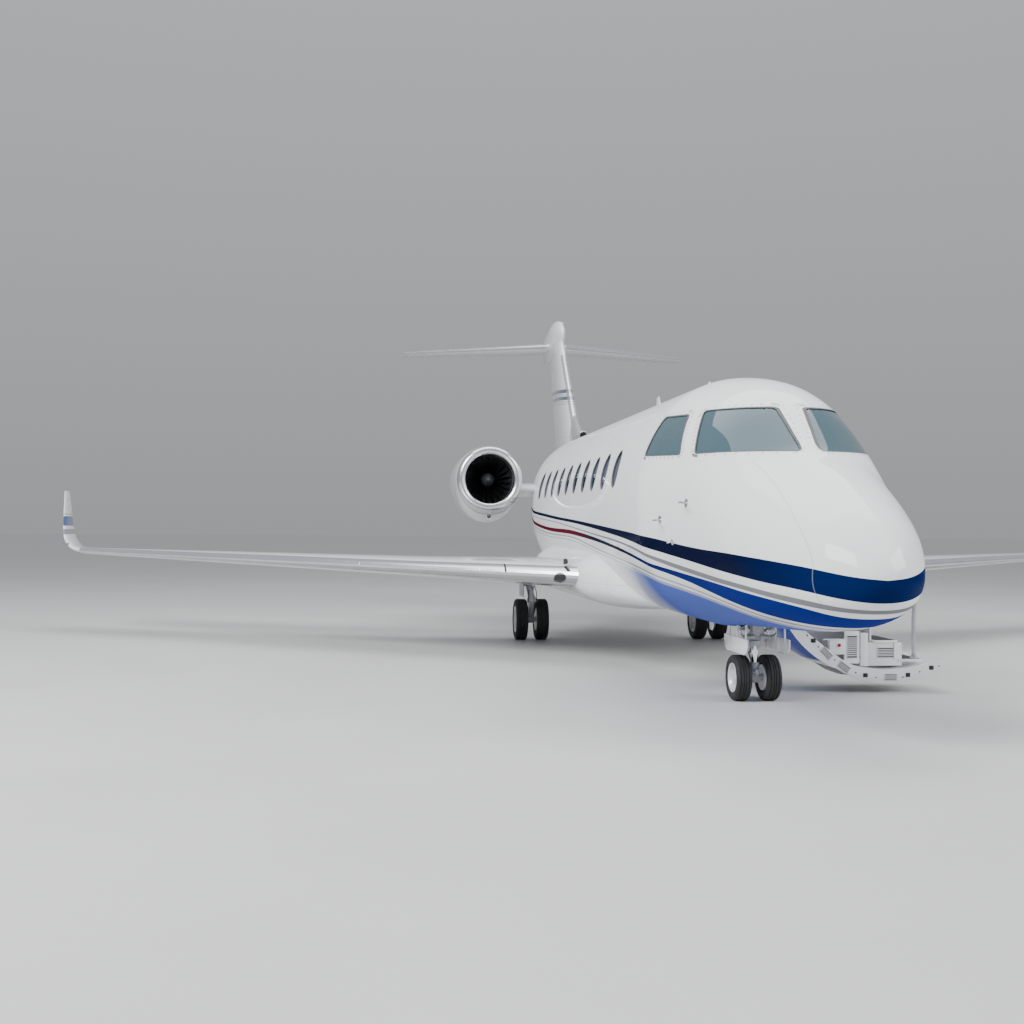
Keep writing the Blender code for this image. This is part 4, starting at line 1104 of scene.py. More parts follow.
def nacelle_paint():
    finish = Finish("nacelle_paint", WHITE, 0.18, Coat_Roughness=0.04)
    _, s, z = finish.place()
    lip = 1 - s.over(LIP_END, 0.002)
    # Painted shade: a dark band 5 cm wide at the lip joint, strongest below height 2.45; it is
    # folded into the seam mask and painted dark with the seams.
    shade = s.near(12.715, 0.05) * (1 - z.over(2.45, 0.12))
    seam = shade.most(s.near(LIP_END, 0.012), *(s.near(p, 0.006) for p in (13.12, 14.62, 15.45)),
                      z.near(ENGINE_Z - 0.02, 0.006) * s.within(13.12, 14.62))
    hot = s.over(15.82, 0.01)
    patch, fine = finish.grain(5.0, 4.0), finish.grain(14.0, 6.0, (1, 8, 1))
    colour = finish.mix(patch * 0.2, WHITE, (0.66, 0.67, 0.69))
    colour = finish.mix(seam * 0.7, colour, (0.12, 0.12, 0.13))
    colour = finish.mix(lip, colour, finish.mix(patch, (0.80, 0.81, 0.83), (0.66, 0.67, 0.70)))
    colour = finish.mix(hot, colour, (0.34, 0.30, 0.27))
    height = finish.grain(1.8, 1.0) * 0.4 - seam * 0.5
    return half_bare(finish, colour, lip.most(hot), patch, fine, height)


cowl_coat = nacelle_paint()
duct_grey = worn("duct_grey", (0.10, 0.10, 0.11), 0.45, 0.4, 8.0)
blade_metal = brushed("blade_metal", (0.15, 0.155, 0.17), 0.34, (6, 1, 6))
spinner_paint = worn("spinner_paint", (0.05, 0.052, 0.056), 0.35, 0.2, 12.0)
print("finishes with the engines':", len(bpy.data.materials))

# %% Nacelles
COWL = (
    (12.625, 0.585, 0.02), (12.75, 0.605, 0.10), (13.30, 0.62, 0.27), (14.30, 0.61, 0.26),
    (15.10, 0.55, 0.15), (15.75, 0.455, 0.04), (16.05, 0.40, 0.00),
)
LIP_DEPTH, LIP_RADIUS, LIP_HALF = 0.065, 0.5125, 0.0725
cowl_at = smooth_table(COWL)


def engine_ring(side, s, radius, hang=0.0, sides=80):
    ring = []
    for i in range(sides):
        angle = math.tau * i / sides
        up = radius * math.sin(angle)
        ring.append(at(side * ENGINE_X + radius * math.cos(angle), s,
                       ENGINE_Z + (up * (1 + hang) if up < 0 else up)))
    return ring


def cowl_rings(side):
    profile = []
    for i in range(13):
        angle = math.pi * i / 12
        profile.append((COWL[0][0] - LIP_DEPTH * math.sin(angle),
                        LIP_RADIUS - LIP_HALF * math.cos(angle), COWL[0][2] * i / 12))
    profile += [(s, *cowl_at(s)) for s in spaced(12.66, 16.05, 0.11)]
    profile += [(16.058, 0.388, 0), (16.05, 0.378, 0), (15.75, 0.41, 0), (15.40, 0.453, 0),
                (14.4, 0.455, 0), (13.4, 0.455, 0), (13.1, 0.452, 0), (12.90, 0.447, 0),
                (12.75, 0.442, 0)]
    return [engine_ring(side, *row) for row in profile]


def cowl_edge(s, z):
    """How far inboard of the engine's line the cowl's skin stands at a height."""
    radius = cowl_at(min(max(s, 12.63), 16.04))[0]
    return ENGINE_X - math.sqrt(max(radius ** 2 - (z - ENGINE_Z) ** 2, 0.01))


DUCT_START, DRAIN_FACE, DRAIN_LEVEL, MIXER_LOBES = 12.72, 12.745, 2.052, 12
PYLON_START, PYLON_CHORD, PYLON_LEVEL = 12.95, 2.75, 2.56
for side, word in SIDES:
    cowl = loft(f"cowl_{word}", cowl_rings(side), loop=True)
    fit(smooth(cowl, 40), cowl_coat, "root", (f"nacelle_{word}",))
    cowl.data.materials.append(duct_grey)
    for face in cowl.data.polygons:
        outward = face.center - at(side * ENGINE_X, 0, ENGINE_Z)
        outward.y = 0
        faces_in = face.normal.dot(outward.normalized()) < -0.6
        if faces_in and face.center.y > at(0, DUCT_START, 0).y:
            face.material_index = 1
    drain = turned("cowl_drain", ((-0.28, 0.0), (-0.26, 0.022), (-0.12, 0.052), (0.0, 0.056),
                                  (0.006, 0.050), (0.0, 0.043), (-0.020, 0.040), (-0.020, 0.0)),
                   at(side * ENGINE_X, DRAIN_FACE, DRAIN_LEVEL), -ALONG, 36)
    fit(drain, white_gloss, "root")
    mesh = turned("drain_mesh", ((-0.024, 0.0), (-0.024, 0.0395), (-0.015, 0.0395),
                                 (-0.012, 0.020), (-0.010, 0.0)),
                  at(side * ENGINE_X, DRAIN_FACE, DRAIN_LEVEL), -ALONG, 30)
    fit(mesh, duct_grey, "root")

    core = turned("core", ((0.0, 0.0), (0.0, 0.20), (0.27, 0.4540), (2.07, 0.4540), (2.12, 0.31),
                           (2.17, 0.26), (2.6, 0.20), (2.92, 0.10), (3.02, 0.045), (3.03, 0.0)),
                  at(side * ENGINE_X, 13.13, ENGINE_Z), ALONG, 64)
    rings = []
    for s, radius, wave in ((15.20, 0.34, 0.0), (15.40, 0.335, 0.012), (15.62, 0.325, 0.045),
                            (15.62, 0.319, 0.045), (15.40, 0.329, 0.012), (15.20, 0.334, 0.0)):
        ring = []
        for i in range(144):
            angle = math.tau * i / 144
            far = radius + wave * math.cos(MIXER_LOBES * angle)
            ring.append(at(side * ENGINE_X + far * math.cos(angle), s,
                           ENGINE_Z + far * math.sin(angle)))
        rings.append(ring)
    mixer = loft("mixer", rings, loop=True)
    fit(smooth(join(f"core_{word}", [core, mixer]), 40), hot_metal, "root",
        (f"engine_core_{word}",))

    rings = []
    for place in (0.0, 0.35, 0.7, 1.0):
        ring = []
        for along, up in section(PYLON_CHORD, 0.26):
            s, z = PYLON_START + along, PYLON_LEVEL + up
            root, tip = hull_at(s)[0] - 0.10, cowl_edge(s, z) + 0.03
            ring.append(at(side * (root + (tip - root) * place), s, z))
        rings.append(ring)
    fit(smooth(loft(f"pylon_skin_{word}", rings), 30), white_gloss, "root",
        (f"pylon_{word}",))
    print("engine", word, "cowl faces:", len(cowl.data.polygons))

# %% Fans: a spinner, and one blade copied round the hub
BLADES = 22
blade_rows = ((0.115, 0.120, 58), (0.20, 0.128, 50), (0.30, 0.134, 40), (0.38, 0.136, 33),
              (0.438, 0.130, 28))
rings = []
for radius, chord, twist in blade_rows:
    lean = math.radians(90 - twist)
    ring = []
    for share, thick in ((-0.5, 0.001), (-0.25, 0.006), (0.0, 0.0075), (0.25, 0.006), (0.5, 0.001),
                         (0.25, -0.003), (0.0, -0.004), (-0.25, -0.003)):
        along, over = chord * share, thick + 0.012 * (1 - 4 * share * share)
        ring.append(Vector((radius, along * math.cos(lean) + over * math.sin(lean),
                            along * math.sin(lean) - over * math.cos(lean))))
    rings.append(ring)
blade = loft("blade", rings)
for side, word in SIDES:
    centre = at(side * ENGINE_X, FAN_FACE + 0.045, ENGINE_Z)
    blades = [copy_of(blade, "blade", Matrix.Translation(centre) @ Matrix.Rotation(
        math.tau * i / BLADES, 4, "Y")) for i in range(BLADES)]
    fit(smooth(join(f"fan_blades_{word}", blades), 45), blade_metal, f"fan_{word}",
        (f"fan_{word}",))
    spinner = turned(f"spinner_{word}", ((-0.245, 0.0), (-0.235, 0.022), (-0.20, 0.052),
                                         (-0.14, 0.085), (-0.07, 0.112), (0.0, 0.128),
                                         (0.05, 0.130), (0.06, 0.118), (0.06, 0.0)),
                     centre, ALONG, 40)
    fit(spinner, spinner_paint, f"fan_{word}")
bpy.data.objects.remove(blade)
print("fan blades:", BLADES)

# %% [markdown]
# ## Entry stair
# The door hangs open by its lower edge and its inside carries the stair. Its shell is cut
# in its closed place, keeps that place as an attribute for the stripes, and is then
# turned down about the same hinge line as the solids.

# %% Door shell
door_axis = hull_point(DOOR_START, DOOR_LOW, -0.004)
DOOR_SWING = 88
door_turn = (Matrix.Translation(door_axis) @ Matrix.Rotation(math.radians(DOOR_SWING), 4, "Y")
             @ Matrix.Translation(-door_axis))
shell = door_block("door_shell", MOVING_GAP, 0.10, 0.0)
places = shell.data.attributes.new("closed_place", "FLOAT_VECTOR", "POINT")
places.data.foreach_set("vector", [value for vertex in shell.data.vertices for value in vertex.co])
shell.data.transform(door_turn)
fit(smooth(shell, 30), door_paint, "airstair_door", ("airstair_door",))
shell.data.materials.append(white_gloss)
for face in shell.data.polygons:
    if face.normal.z > -0.1:
        face.material_index = 1
print("door shell faces:", len(shell.data.polygons))

# %% Side plates, treads and risers
PLATE_TOP = ((0.68, 1.22), (0.80, 1.25), (1.02, 1.18), (1.30, 0.97), (1.60, 0.76), (1.90, 0.545),
             (2.10, 0.405), (2.24, 0.385), (2.335, 0.36))
PLATE_FOOT = ((2.40, 0.315), (2.36, 0.27), (2.22, 0.19), (2.01, 0.13), (1.80, 0.105), (1.60, 0.105),
              (1.41, 0.135), (1.26, 0.19), (1.12, 0.275), (0.97, 0.39), (0.82, 0.54), (0.68, 0.72))


def plate(name, start, end, outline=PLATE_TOP + PLATE_FOOT, edge=0.006):
    piece = loft(name, [[at(x, s, z) for x, z in outline] for s in (start, end)])
    return bevel(piece, edge, 2)


def vent_panel(x, z, tilt, s, wide=0.16, tall=0.08, slats=5):
    """A frame of pale slats over a dark back, as two pieces facing forward; the back is painted
    shade for the depth of the opening.
    """
    half, high = wide / 2, tall / 2
    # Painted shade: this thin dark block behind the slats stands for the dark depth of the opening.
    painted_shade_back = block("vent_painted_shade", (-half + 0.004, s - 0.002, -high + 0.004),
                 (half - 0.004, s + 0.004, high - 0.004), 0.001, 1)
    rims = ((-half, high - 0.007, half, high), (-half, -high, half, 0.007 - high),
            (-half, -high, 0.010 - half, high), (half - 0.010, -high, half, high))
    parts = [block("vent_rim", (left, s - 0.005, low), (right, s + 0.003, top), 0.0015, 1)
             for left, low, right, top in rims]
    pitch = (tall - 0.014) / (slats + 1)
    for i in range(slats):
        up = high - 0.007 - pitch * (i + 1)
        parts.append(block("slat", (0.008 - half, s - 0.0055, up - pitch * 0.27),
                           (half - 0.008, s - 0.001, up + pitch * 0.27), 0.001, 1))
    slatted = join("slats", parts)
    for piece in (painted_shade_back, slatted):
        piece.data.transform(Matrix.Translation((x, 0, z)) @ Matrix.Rotation(tilt, 4, "Y"))
    return painted_shade_back, slatted


BAND = ((0.685, 0.72), (0.82, 0.54), (0.97, 0.40), (1.12, 0.285), (1.26, 0.20), (1.41, 0.145),
        (1.56, 0.117), (1.71, 0.108), (1.86, 0.112), (2.01, 0.135), (2.16, 0.18), (2.30, 0.245),
        (2.395, 0.32), (2.30, 0.345), (2.19, 0.339), (2.007, 0.283), (1.86, 0.255), (1.709, 0.245),
        (1.56, 0.255), (1.411, 0.287), (1.29, 0.33), (1.174, 0.387), (0.997, 0.517), (0.878, 0.602),
        (0.772, 0.688), (0.70, 0.76))
band = plate("stair_band", DOOR_START + 0.011, DOOR_START + 0.095, BAND, 0.005)
plates = [band, plate("stair_side_rear", DOOR_END - 0.095, DOOR_END - 0.060)]
fit(smooth(join("stair_sides", plates)), white_gloss, "airstair_door")
VENTS = ((0.995, 0.455, 0.80), (1.20, 0.300, 0.62), (1.755, 0.180, 0.02))
vents = [vent_panel(x, z, tilt, DOOR_START + 0.011) for x, z, tilt in VENTS]
vent_paint = plain_gloss("vent_paint", (0.66, 0.67, 0.69), 0.24)
latches = []
for x, z in ((1.455, 0.205), (1.96, 0.205), (2.24, 0.285), (0.84, 0.60)):
    latches.append(block("latch", (x - 0.028, DOOR_START + 0.006, z - 0.024),
                         (x + 0.028, DOOR_START + 0.030, z + 0.024), 0.003))
    latches.append(rod("latch_pin", at(x, DOOR_START + 0.003, z), at(x, DOOR_START + 0.02, z),
                       0.012, 16, 0.002))
for x, z in ((0.77, 0.66), (0.90, 0.53), (1.09, 0.38), (1.34, 0.235), (1.58, 0.18), (1.90, 0.18),
             (2.10, 0.24), (2.33, 0.305)):
    latches.append(rod("bolt", at(x, DOOR_START + 0.0065, z), at(x, DOOR_START + 0.02, z), 0.009,
                       12, 0.002))
fit(smooth(join("stair_latches", latches)), dark_metal, "airstair_door")

near, far = DOOR_START + 0.096, DOOR_END - 0.096
BOX_FACE, PANEL_FACE = near + 0.010, near - 0.012
vents.append(vent_panel(1.735, 0.450, 0, BOX_FACE, 0.21, 0.12, 5))
vents.append(vent_panel(1.325, 0.520, 0, PANEL_FACE, 0.135, 0.26, 10))
fit(smooth(join("stair_vent_slats", [slatted for painted_shade_back, slatted in vents])), vent_paint,
    "airstair_door")
# The dark backs behind the vent slats are painted shade.
fit(smooth(join("stair_vent_painted_shade", [painted_shade_back for painted_shade_back, slatted in vents])), dark_metal,
    "airstair_door")

STEP_RUN, STEP_RISE = 0.29, 0.215
STEPS = [(0.86 + STEP_RUN * i, 1.24 - STEP_RISE * i) for i in range(5)]
boards, strips, nosings = [], [], []
for x, z in STEPS:
    boards.append(block("tread", (x - 0.14, near, z - 0.035), (x + 0.14, far, z - 0.004), 0.005))
    strips.append(block("grip", (x - 0.12, near + 0.02, z - 0.006), (x + 0.118, far - 0.02, z),
                        0.0015, 1))
    nosings.append(block("nosing", (x + 0.122, near + 0.004, z - 0.030),
                         (x + 0.143, far - 0.004, z), 0.003))
for i, (x, z) in enumerate(STEPS[:-1]):
    boards.append(block("riser", (x + 0.100, near, z - STEP_RISE - 0.004),
                        (x + 0.118, far, z - 0.02), 0.003))
    for k in range(7):
        up = z - 0.055 - 0.020 * k
        for half in (0, 1):
            start = near + 0.05 + 0.28 * half
            boards.append(block("louvre", (x + 0.112, start, up - 0.004),
                                (x + 0.126, start + 0.22, up), 0.001, 1))
boards.append(block("deck_box", (1.52, BOX_FACE, 0.30), (1.93, near + 0.20, 0.562), 0.006))
boards.append(block("vent_board", (1.235, PANEL_FACE, 0.33), (1.415, near + 0.006, 0.70), 0.004))
boards.append(block("plain_board", (1.425, PANEL_FACE, 0.30), (1.515, near + 0.006, 0.68), 0.004))
boards.append(block("shelf", (0.99, near - 0.03, 0.60), (1.23, near + 0.02, 0.612), 0.003))
boards.append(block("light_box", (1.04, near - 0.070, 0.44), (1.225, near + 0.010, 0.60), 0.006))
fit(smooth(join("stair_treads", boards)), white_gloss, "airstair_door")
fit(smooth(join("stair_grips", strips)), tread_black, "airstair_door")
fit(smooth(join("stair_nosings", nosings)), bright_metal, "airstair_door")
red_lens = plain_gloss("red_lens", (0.35, 0.015, 0.02), 0.12)
lens = rod("step_lens", at(1.15, near - 0.084, 0.545), at(1.15, near - 0.068, 0.545),
           0.020, 24, 0.004)
fit(lens, red_lens, "airstair_door")
pin = rod("door_pin", door_axis + ALONG * 0.001, door_axis + ALONG * 0.8395, 0.013, 20, 0.002)
fit(pin, steel, "airstair_door")
stay = bent_tube("door_stay", [at(1.02, near + 0.030, 1.15), at(1.26, near + 0.032, 0.70),
                               at(1.49, near + 0.034, 0.30)], 0.005, 8, 10)
fit(stay, dark_metal, "airstair_door")
print("steps:", len(STEPS), "vents:", len(vents))

# %% Hand rail
foot = at(2.08, DOOR_START + 0.13, 0.3803)
bends = ((0, 0.42), (0, 0.78), (-0.03, 0.86), (-0.20, 0.945), (-0.42, 1.055))
rail = bent_tube("hand_rail", [foot] + [foot + Vector((x, 0, z)) for x, z in bends],
                 0.023, 16, 10)
cap = turned("rail_foot", ((0.0, 0.0), (0.0, 0.042), (0.010, 0.044), (0.016, 0.031), (0.05, 0.027),
                           (0.055, 0.0)), foot, UP, 28)
knob = turned("rail_end", ((-0.02, 0.0), (-0.02, 0.018), (0.0, 0.022), (0.02, 0.018), (0.028, 0.0)),
              foot + Vector((-0.42, 0, 1.055)), Vector((-0.88, 0, 0.47)).normalized(), 20)
fit(smooth(join("hand_rail", [rail, cap, knob])), steel, "airstair_door",
    ("stair_handrail",))
print("rail height:", bends[-1][1])

# %% [markdown]
# ## Landing gear
# Each leg is a casting with a chromed piston, links and hoses. The nose wheels ride the
# steered fork, and the main wheels hang on trailing arms with their own shock absorbers.
# The tyres are turned from a profile with tread grooves.

# %% Wheels
def round_axle(angle):
    return ALONG * math.cos(angle) + UP * math.sin(angle)


def tyre(name, centre, half, radius, bead):
    rise = radius - bead
    flank = [(0.62 * half, bead - 0.004), (0.80 * half, bead + 0.10 * rise),
             (0.97 * half, bead + 0.38 * rise), (half, bead + 0.58 * rise),
             (0.95 * half, bead + 0.80 * rise), (0.80 * half, radius - 0.055 * rise),
             (0.66 * half, radius - 0.012 * rise)]
    tread = [(0.60, 0.0), (0.575, -0.008), (0.50, -0.008), (0.475, 0.0), (0.20, 0.0),
             (0.175, -0.008), (0.10, -0.008), (0.075, 0.0)]
    outer = flank + [(share * half, radius + deep) for share, deep in tread]
    loop = outer + [(-x, r) for x, r in reversed(outer)]
    loop += [(-0.55 * half, bead - 0.012), (0.55 * half, bead - 0.012), outer[0]]
    return turned(name, loop, centre, ACROSS, 72)


def rim(name, centre, way, half, bead, holes):
    """A wheel half: flange, dished web with cooling holes, hub cap and tie bolts."""
    profile = [(-0.9, 0.30), (-0.9, 0.92), (-0.55, 0.97), (0.62, 0.97), (0.80, 1.06), (0.88, 1.05),
               (0.88, 0.99), (0.70, 0.90), (0.46, 0.84), (0.34, 0.62), (0.38, 0.42), (0.52, 0.36),
               (0.56, 0.30), (0.50, 0.25), (-0.9, 0.25), (-0.9, 0.30)]
    body = turned(name, [(x * half * way, r * bead) for x, r in profile], centre, ACROSS, 64)
    for i in range(holes):
        spot = centre + round_axle(math.tau * i / holes) * bead * 0.72
        carve(body, rod("hole", spot + ACROSS * way * half * 0.1, spot + ACROSS * way * half * 0.9,
                        bead * 0.095, 20))
    parts = [body, turned("cap", [(x * half * way, r * bead) for x, r in (
        (0.40, 0.0), (0.40, 0.24), (0.60, 0.24), (0.66, 0.20), (0.68, 0.10), (0.68, 0.0))],
        centre, ACROSS, 32)]
    for i in range(holes):
        spot = centre + round_axle(math.tau * (i + 0.5) / holes) * bead * 0.50
        parts.append(rod("tie_bolt", spot + ACROSS * way * half * 0.32,
                         spot + ACROSS * way * half * 0.47, bead * 0.045, 6))
    return join(name, parts)


def wheel_pair(name, centre, spread, half, radius, bead, body, holes):
    tyres = [tyre("tyre", centre + ACROSS * spread * way, half, radius, bead) for way in (-1, 1)]
    fit(smooth(join(name + "_tyres", tyres), 30), tyre_black, body, (body,))
    rims = [rim("rim", centre + ACROSS * spread * way, way, half, bead, holes) for way in (-1, 1)]
    axle = rod("axle", centre - ACROSS * spread, centre + ACROSS * spread, 0.031, 24)
    fit(smooth(join(name + "_rims", [*rims, axle]), 40), rim_paint, body)


tyre_black = worn("tyre_black", (0.020, 0.020, 0.021), 0.72, 0.0, 16.0, 0.0010, 0.6)
rim_paint = worn("rim_paint", (0.62, 0.64, 0.66), 0.32, 0.15, 9.0, 0.0004, 0.4)
chrome = brushed("chrome", (0.82, 0.83, 0.85), 0.12, (2, 2, 20))
hose_black = worn("hose_black", (0.025, 0.025, 0.027), 0.5, 0.0, 60.0)
NOSE_TYRE, MAIN_TYRE = (0.085, 0.2468, 0.150), (0.10, 0.3358, 0.205)
print("tyre radii:", NOSE_TYRE[1], MAIN_TYRE[1])

# %% Nose leg
LEG = 3.42
axle = at(0, 3.46, 0.247)
leg_top = at(0, LEG, 1.236)
parts = [
    turned("leg_tube", ((0.0, 0.0), (0.0, 0.062), (0.05, 0.062), (0.06, 0.055), (0.34, 0.055),
                        (0.35, 0.066), (0.40, 0.066), (0.41, 0.057), (0.52, 0.057), (0.53, 0.068),
                        (0.572, 0.068), (0.575, 0.05), (0.575, 0.0)), leg_top, -UP, 40),
    block("leg_casting", (-0.088, LEG - 0.072, 0.705), (0.088, LEG + 0.072, 0.862), 0.018, 3),
    block("leg_yoke", (-0.155, LEG - 0.035, 0.90), (0.155, LEG + 0.045, 0.965), 0.014, 3),
    block("yoke_web", (-0.135, LEG - 0.020, 0.855), (-0.095, LEG + 0.030, 0.905), 0.006),
    block("yoke_web", (0.095, LEG - 0.020, 0.855), (0.135, LEG + 0.030, 0.905), 0.006),
    rod("drag_strut", at(0, LEG - 0.03, 0.82), at(0, 3.03, 1.16), 0.026, 24),
    rod("drag_collar", at(0, 3.23, 0.985), at(0, 3.19, 1.02), 0.036, 24, 0.004),
    rod("cross_pin", at(-0.205, LEG, 1.17), at(0.205, LEG, 1.17), 0.024, 24, 0.003),
    rod("lamp_arm", at(-0.15, LEG - 0.03, 0.762), at(0.15, LEG - 0.03, 0.762), 0.018, 20),
    block("steer_valve", (-0.062, LEG - 0.115, 0.745), (0.062, LEG - 0.065, 0.835), 0.010, 3),
    block("steer_box", (-0.040, LEG - 0.105, 0.868), (0.045, LEG - 0.055, 0.935), 0.008, 2),
]
for way in (-1, 1):
    parts.append(rod("steer_jack", at(way * 0.035, LEG - 0.088, 0.700),
                     at(way * 0.150, LEG - 0.060, 0.700), 0.019, 20, 0.003))
    parts.append(rod("brace", at(way * 0.115, LEG + 0.01, 0.93), at(way * 0.165, LEG + 0.02, 1.16),
                     0.014, 16))
    for k in range(4):
        parts.append(rod("casting_bolt", at(way * 0.066, LEG - 0.085, 0.728 + 0.036 * k),
                         at(way * 0.066, LEG - 0.070, 0.728 + 0.036 * k), 0.007, 6))
fit(smooth(join("nose_leg", parts), 35), gear_paint, "root", ("nose_gear_leg",))

lamps, bezels, lenses = [], [], []
for way in (-1, 1):
    face = at(way * 0.152, LEG - 0.108, 0.762)
    lamps.append(turned("lamp_bowl", ((0.004, 0.0), (0.004, 0.050), (0.03, 0.050), (0.07, 0.040),
                                      (0.105, 0.024), (0.115, 0.0)), face, ALONG, 36))
    bezels.append(turned("lamp_bezel", ((-0.008, 0.047), (-0.012, 0.052), (-0.006, 0.0575),
                                        (0.016, 0.0575), (0.016, 0.049), (-0.008, 0.047)),
                         face, ALONG, 40))
    lenses.append(turned("lamp_lens", ((0.002, 0.0), (0.002, 0.046), (-0.004, 0.046),
                                       (-0.009, 0.030), (-0.011, 0.0)), face, ALONG, 36))
fit(smooth(join("taxi_lamps", lamps), 40), gear_paint, "root")
fit(smooth(join("taxi_bezels", bezels), 40), chrome, "root")
lens_glow = Finish("lens_glow", (0.50, 0.52, 0.55), 0.08, 0.6)
ribs = lens_glow.place()[0].every(0.012)
lens_glow.set("Roughness", ribs * 12 + 0.05).relief(ribs, 0.002)
fit(smooth(join("taxi_lenses", lenses), 40), lens_glow.material, "root")

hoses = []
for way, lift in ((-1, 0.0), (1, 0.03)):
    hoses.append(bent_tube("hose", [at(way * 0.075, LEG + 0.05, 1.22),
                                    at(way * 0.095, LEG + 0.10, 1.05),
                                    at(way * 0.080, LEG + 0.085, 0.90 + lift),
                                    at(way * 0.045, LEG + 0.076, 0.74)], 0.0075, 12, 8))
    hoses.append(bent_tube("wire", [at(way * 0.152, LEG + 0.004, 0.762),
                                    at(way * 0.135, LEG + 0.055, 0.80),
                                    at(way * 0.10, LEG + 0.060, 0.93),
                                    at(way * 0.070, LEG + 0.055, 1.22)], 0.0045, 8, 8))
hoses.append(bent_tube("loop_hose", [at(-0.06, LEG - 0.09, 0.83), at(-0.10, LEG - 0.13, 0.88),
                                     at(-0.06, LEG - 0.10, 0.98), at(-0.03, LEG - 0.05, 1.20)],
                       0.006, 12, 8))
fit(smooth(join("nose_hoses", hoses), 60), hose_black, "root")
print("nose leg parts:", len(parts))

# %% Steered fork
parts = [
    turned("steer_ring", ((0.0, 0.0), (0.0, 0.055), (0.004, 0.062), (0.052, 0.062), (0.056, 0.055),
                          (0.056, 0.0)), at(0, LEG, 0.655), -UP, 40),
    rod("fork_foot", at(0, LEG, 0.42), at(0, LEG + 0.01, 0.30), 0.050, 32, 0.008),
    rod("trail_arm", at(0, LEG - 0.01, 0.345), axle, 0.042, 28, 0.006),
    rod("axle_knuckle", axle - ACROSS * 0.0565, axle + ACROSS * 0.0565, 0.058, 36, 0.006),
    block("tow_lug", (-0.020, LEG - 0.085, 0.285), (0.020, LEG - 0.030, 0.345), 0.006),
    rod("tow_pin", at(-0.040, LEG - 0.066, 0.315), at(0.040, LEG - 0.066, 0.315), 0.011, 16, 0.002),
]
for low, high in (((0.02, 0.62), (0.145, 0.515)), ((0.145, 0.505), (0.03, 0.385))):
    for way in (-1, 1):
        parts.append(rod("link", at(way * 0.024, LEG + low[0], low[1]),
                         at(way * 0.010, LEG + high[0], high[1]), 0.010, 16))
parts.append(rod("link_pin", at(-0.030, LEG + 0.147, 0.51), at(0.030, LEG + 0.147, 0.51),
                 0.012, 20, 0.002))
for z in (0.622, 0.385):
    parts.append(block("link_lug", (-0.032, LEG + 0.010, z - 0.020),
                       (0.032, LEG + 0.058, z + 0.020), 0.005))
fit(smooth(join("nose_fork", parts), 35), gear_paint, "nose_gear_fork",
    ("nose_gear_fork",))
fit(rod("nose_piston", at(0, LEG, 0.60), at(0, LEG, 0.40), 0.037, 36), chrome, "nose_gear_fork")
wheel_pair("nose", axle, 0.165, *NOSE_TYRE, "nose_wheels", 8)
print("pieces fitted so far:", len(made))

# %% Nose wheel bay and its doors
bay = nodes["nose_gear_bay"]
recoat(bay, worn("bay_green", (0.42, 0.44, 0.38), 0.5, 0.0, 6.0, 0.0006, 0.5))
ribs = []
for i in range(4):
    s = 3.04 + 0.2 * i
    ribs.append(block("bay_rib", (-0.198, s, 1.205), (0.198, s + 0.014, 1.238), 0.002, 1))
fit(smooth(join("bay_ribs", ribs)), bay.data.materials[0], "root")
DOOR_OUTLINE = ((2.952, 0.70), (3.778, 0.70), (3.778, 0.62), (3.74, 0.56), (3.68, 0.53),
                (3.06, 0.53), (2.99, 0.56), (2.952, 0.62))


def x_range(side, near_x, far_x):
    return sorted((side * near_x, side * far_x))


for side, word in SIDES:
    parts = [slab("bay_door", DOOR_OUTLINE, *x_range(side, 0.219, 0.235), 0.004)]
    low, high = x_range(side, 0.211, 0.220)
    for s in (3.02, 3.2, 3.38, 3.56, 3.70):
        parts.append(block("door_rib", (low, s, 0.56), (high, s + 0.018, 0.69), 0.002, 1))
    for s in (3.06, 3.36, 3.64):
        parts.append(rod("door_hinge", at(side * 0.214, s, 0.66), at(side * 0.205, s, 0.90),
                         0.010, 12))
    fit(smooth(join(f"bay_door_skin_{word}", parts)), white_gloss, "root",
        (f"nose_gear_door_{word}",))
print("bay ribs:", len(ribs))

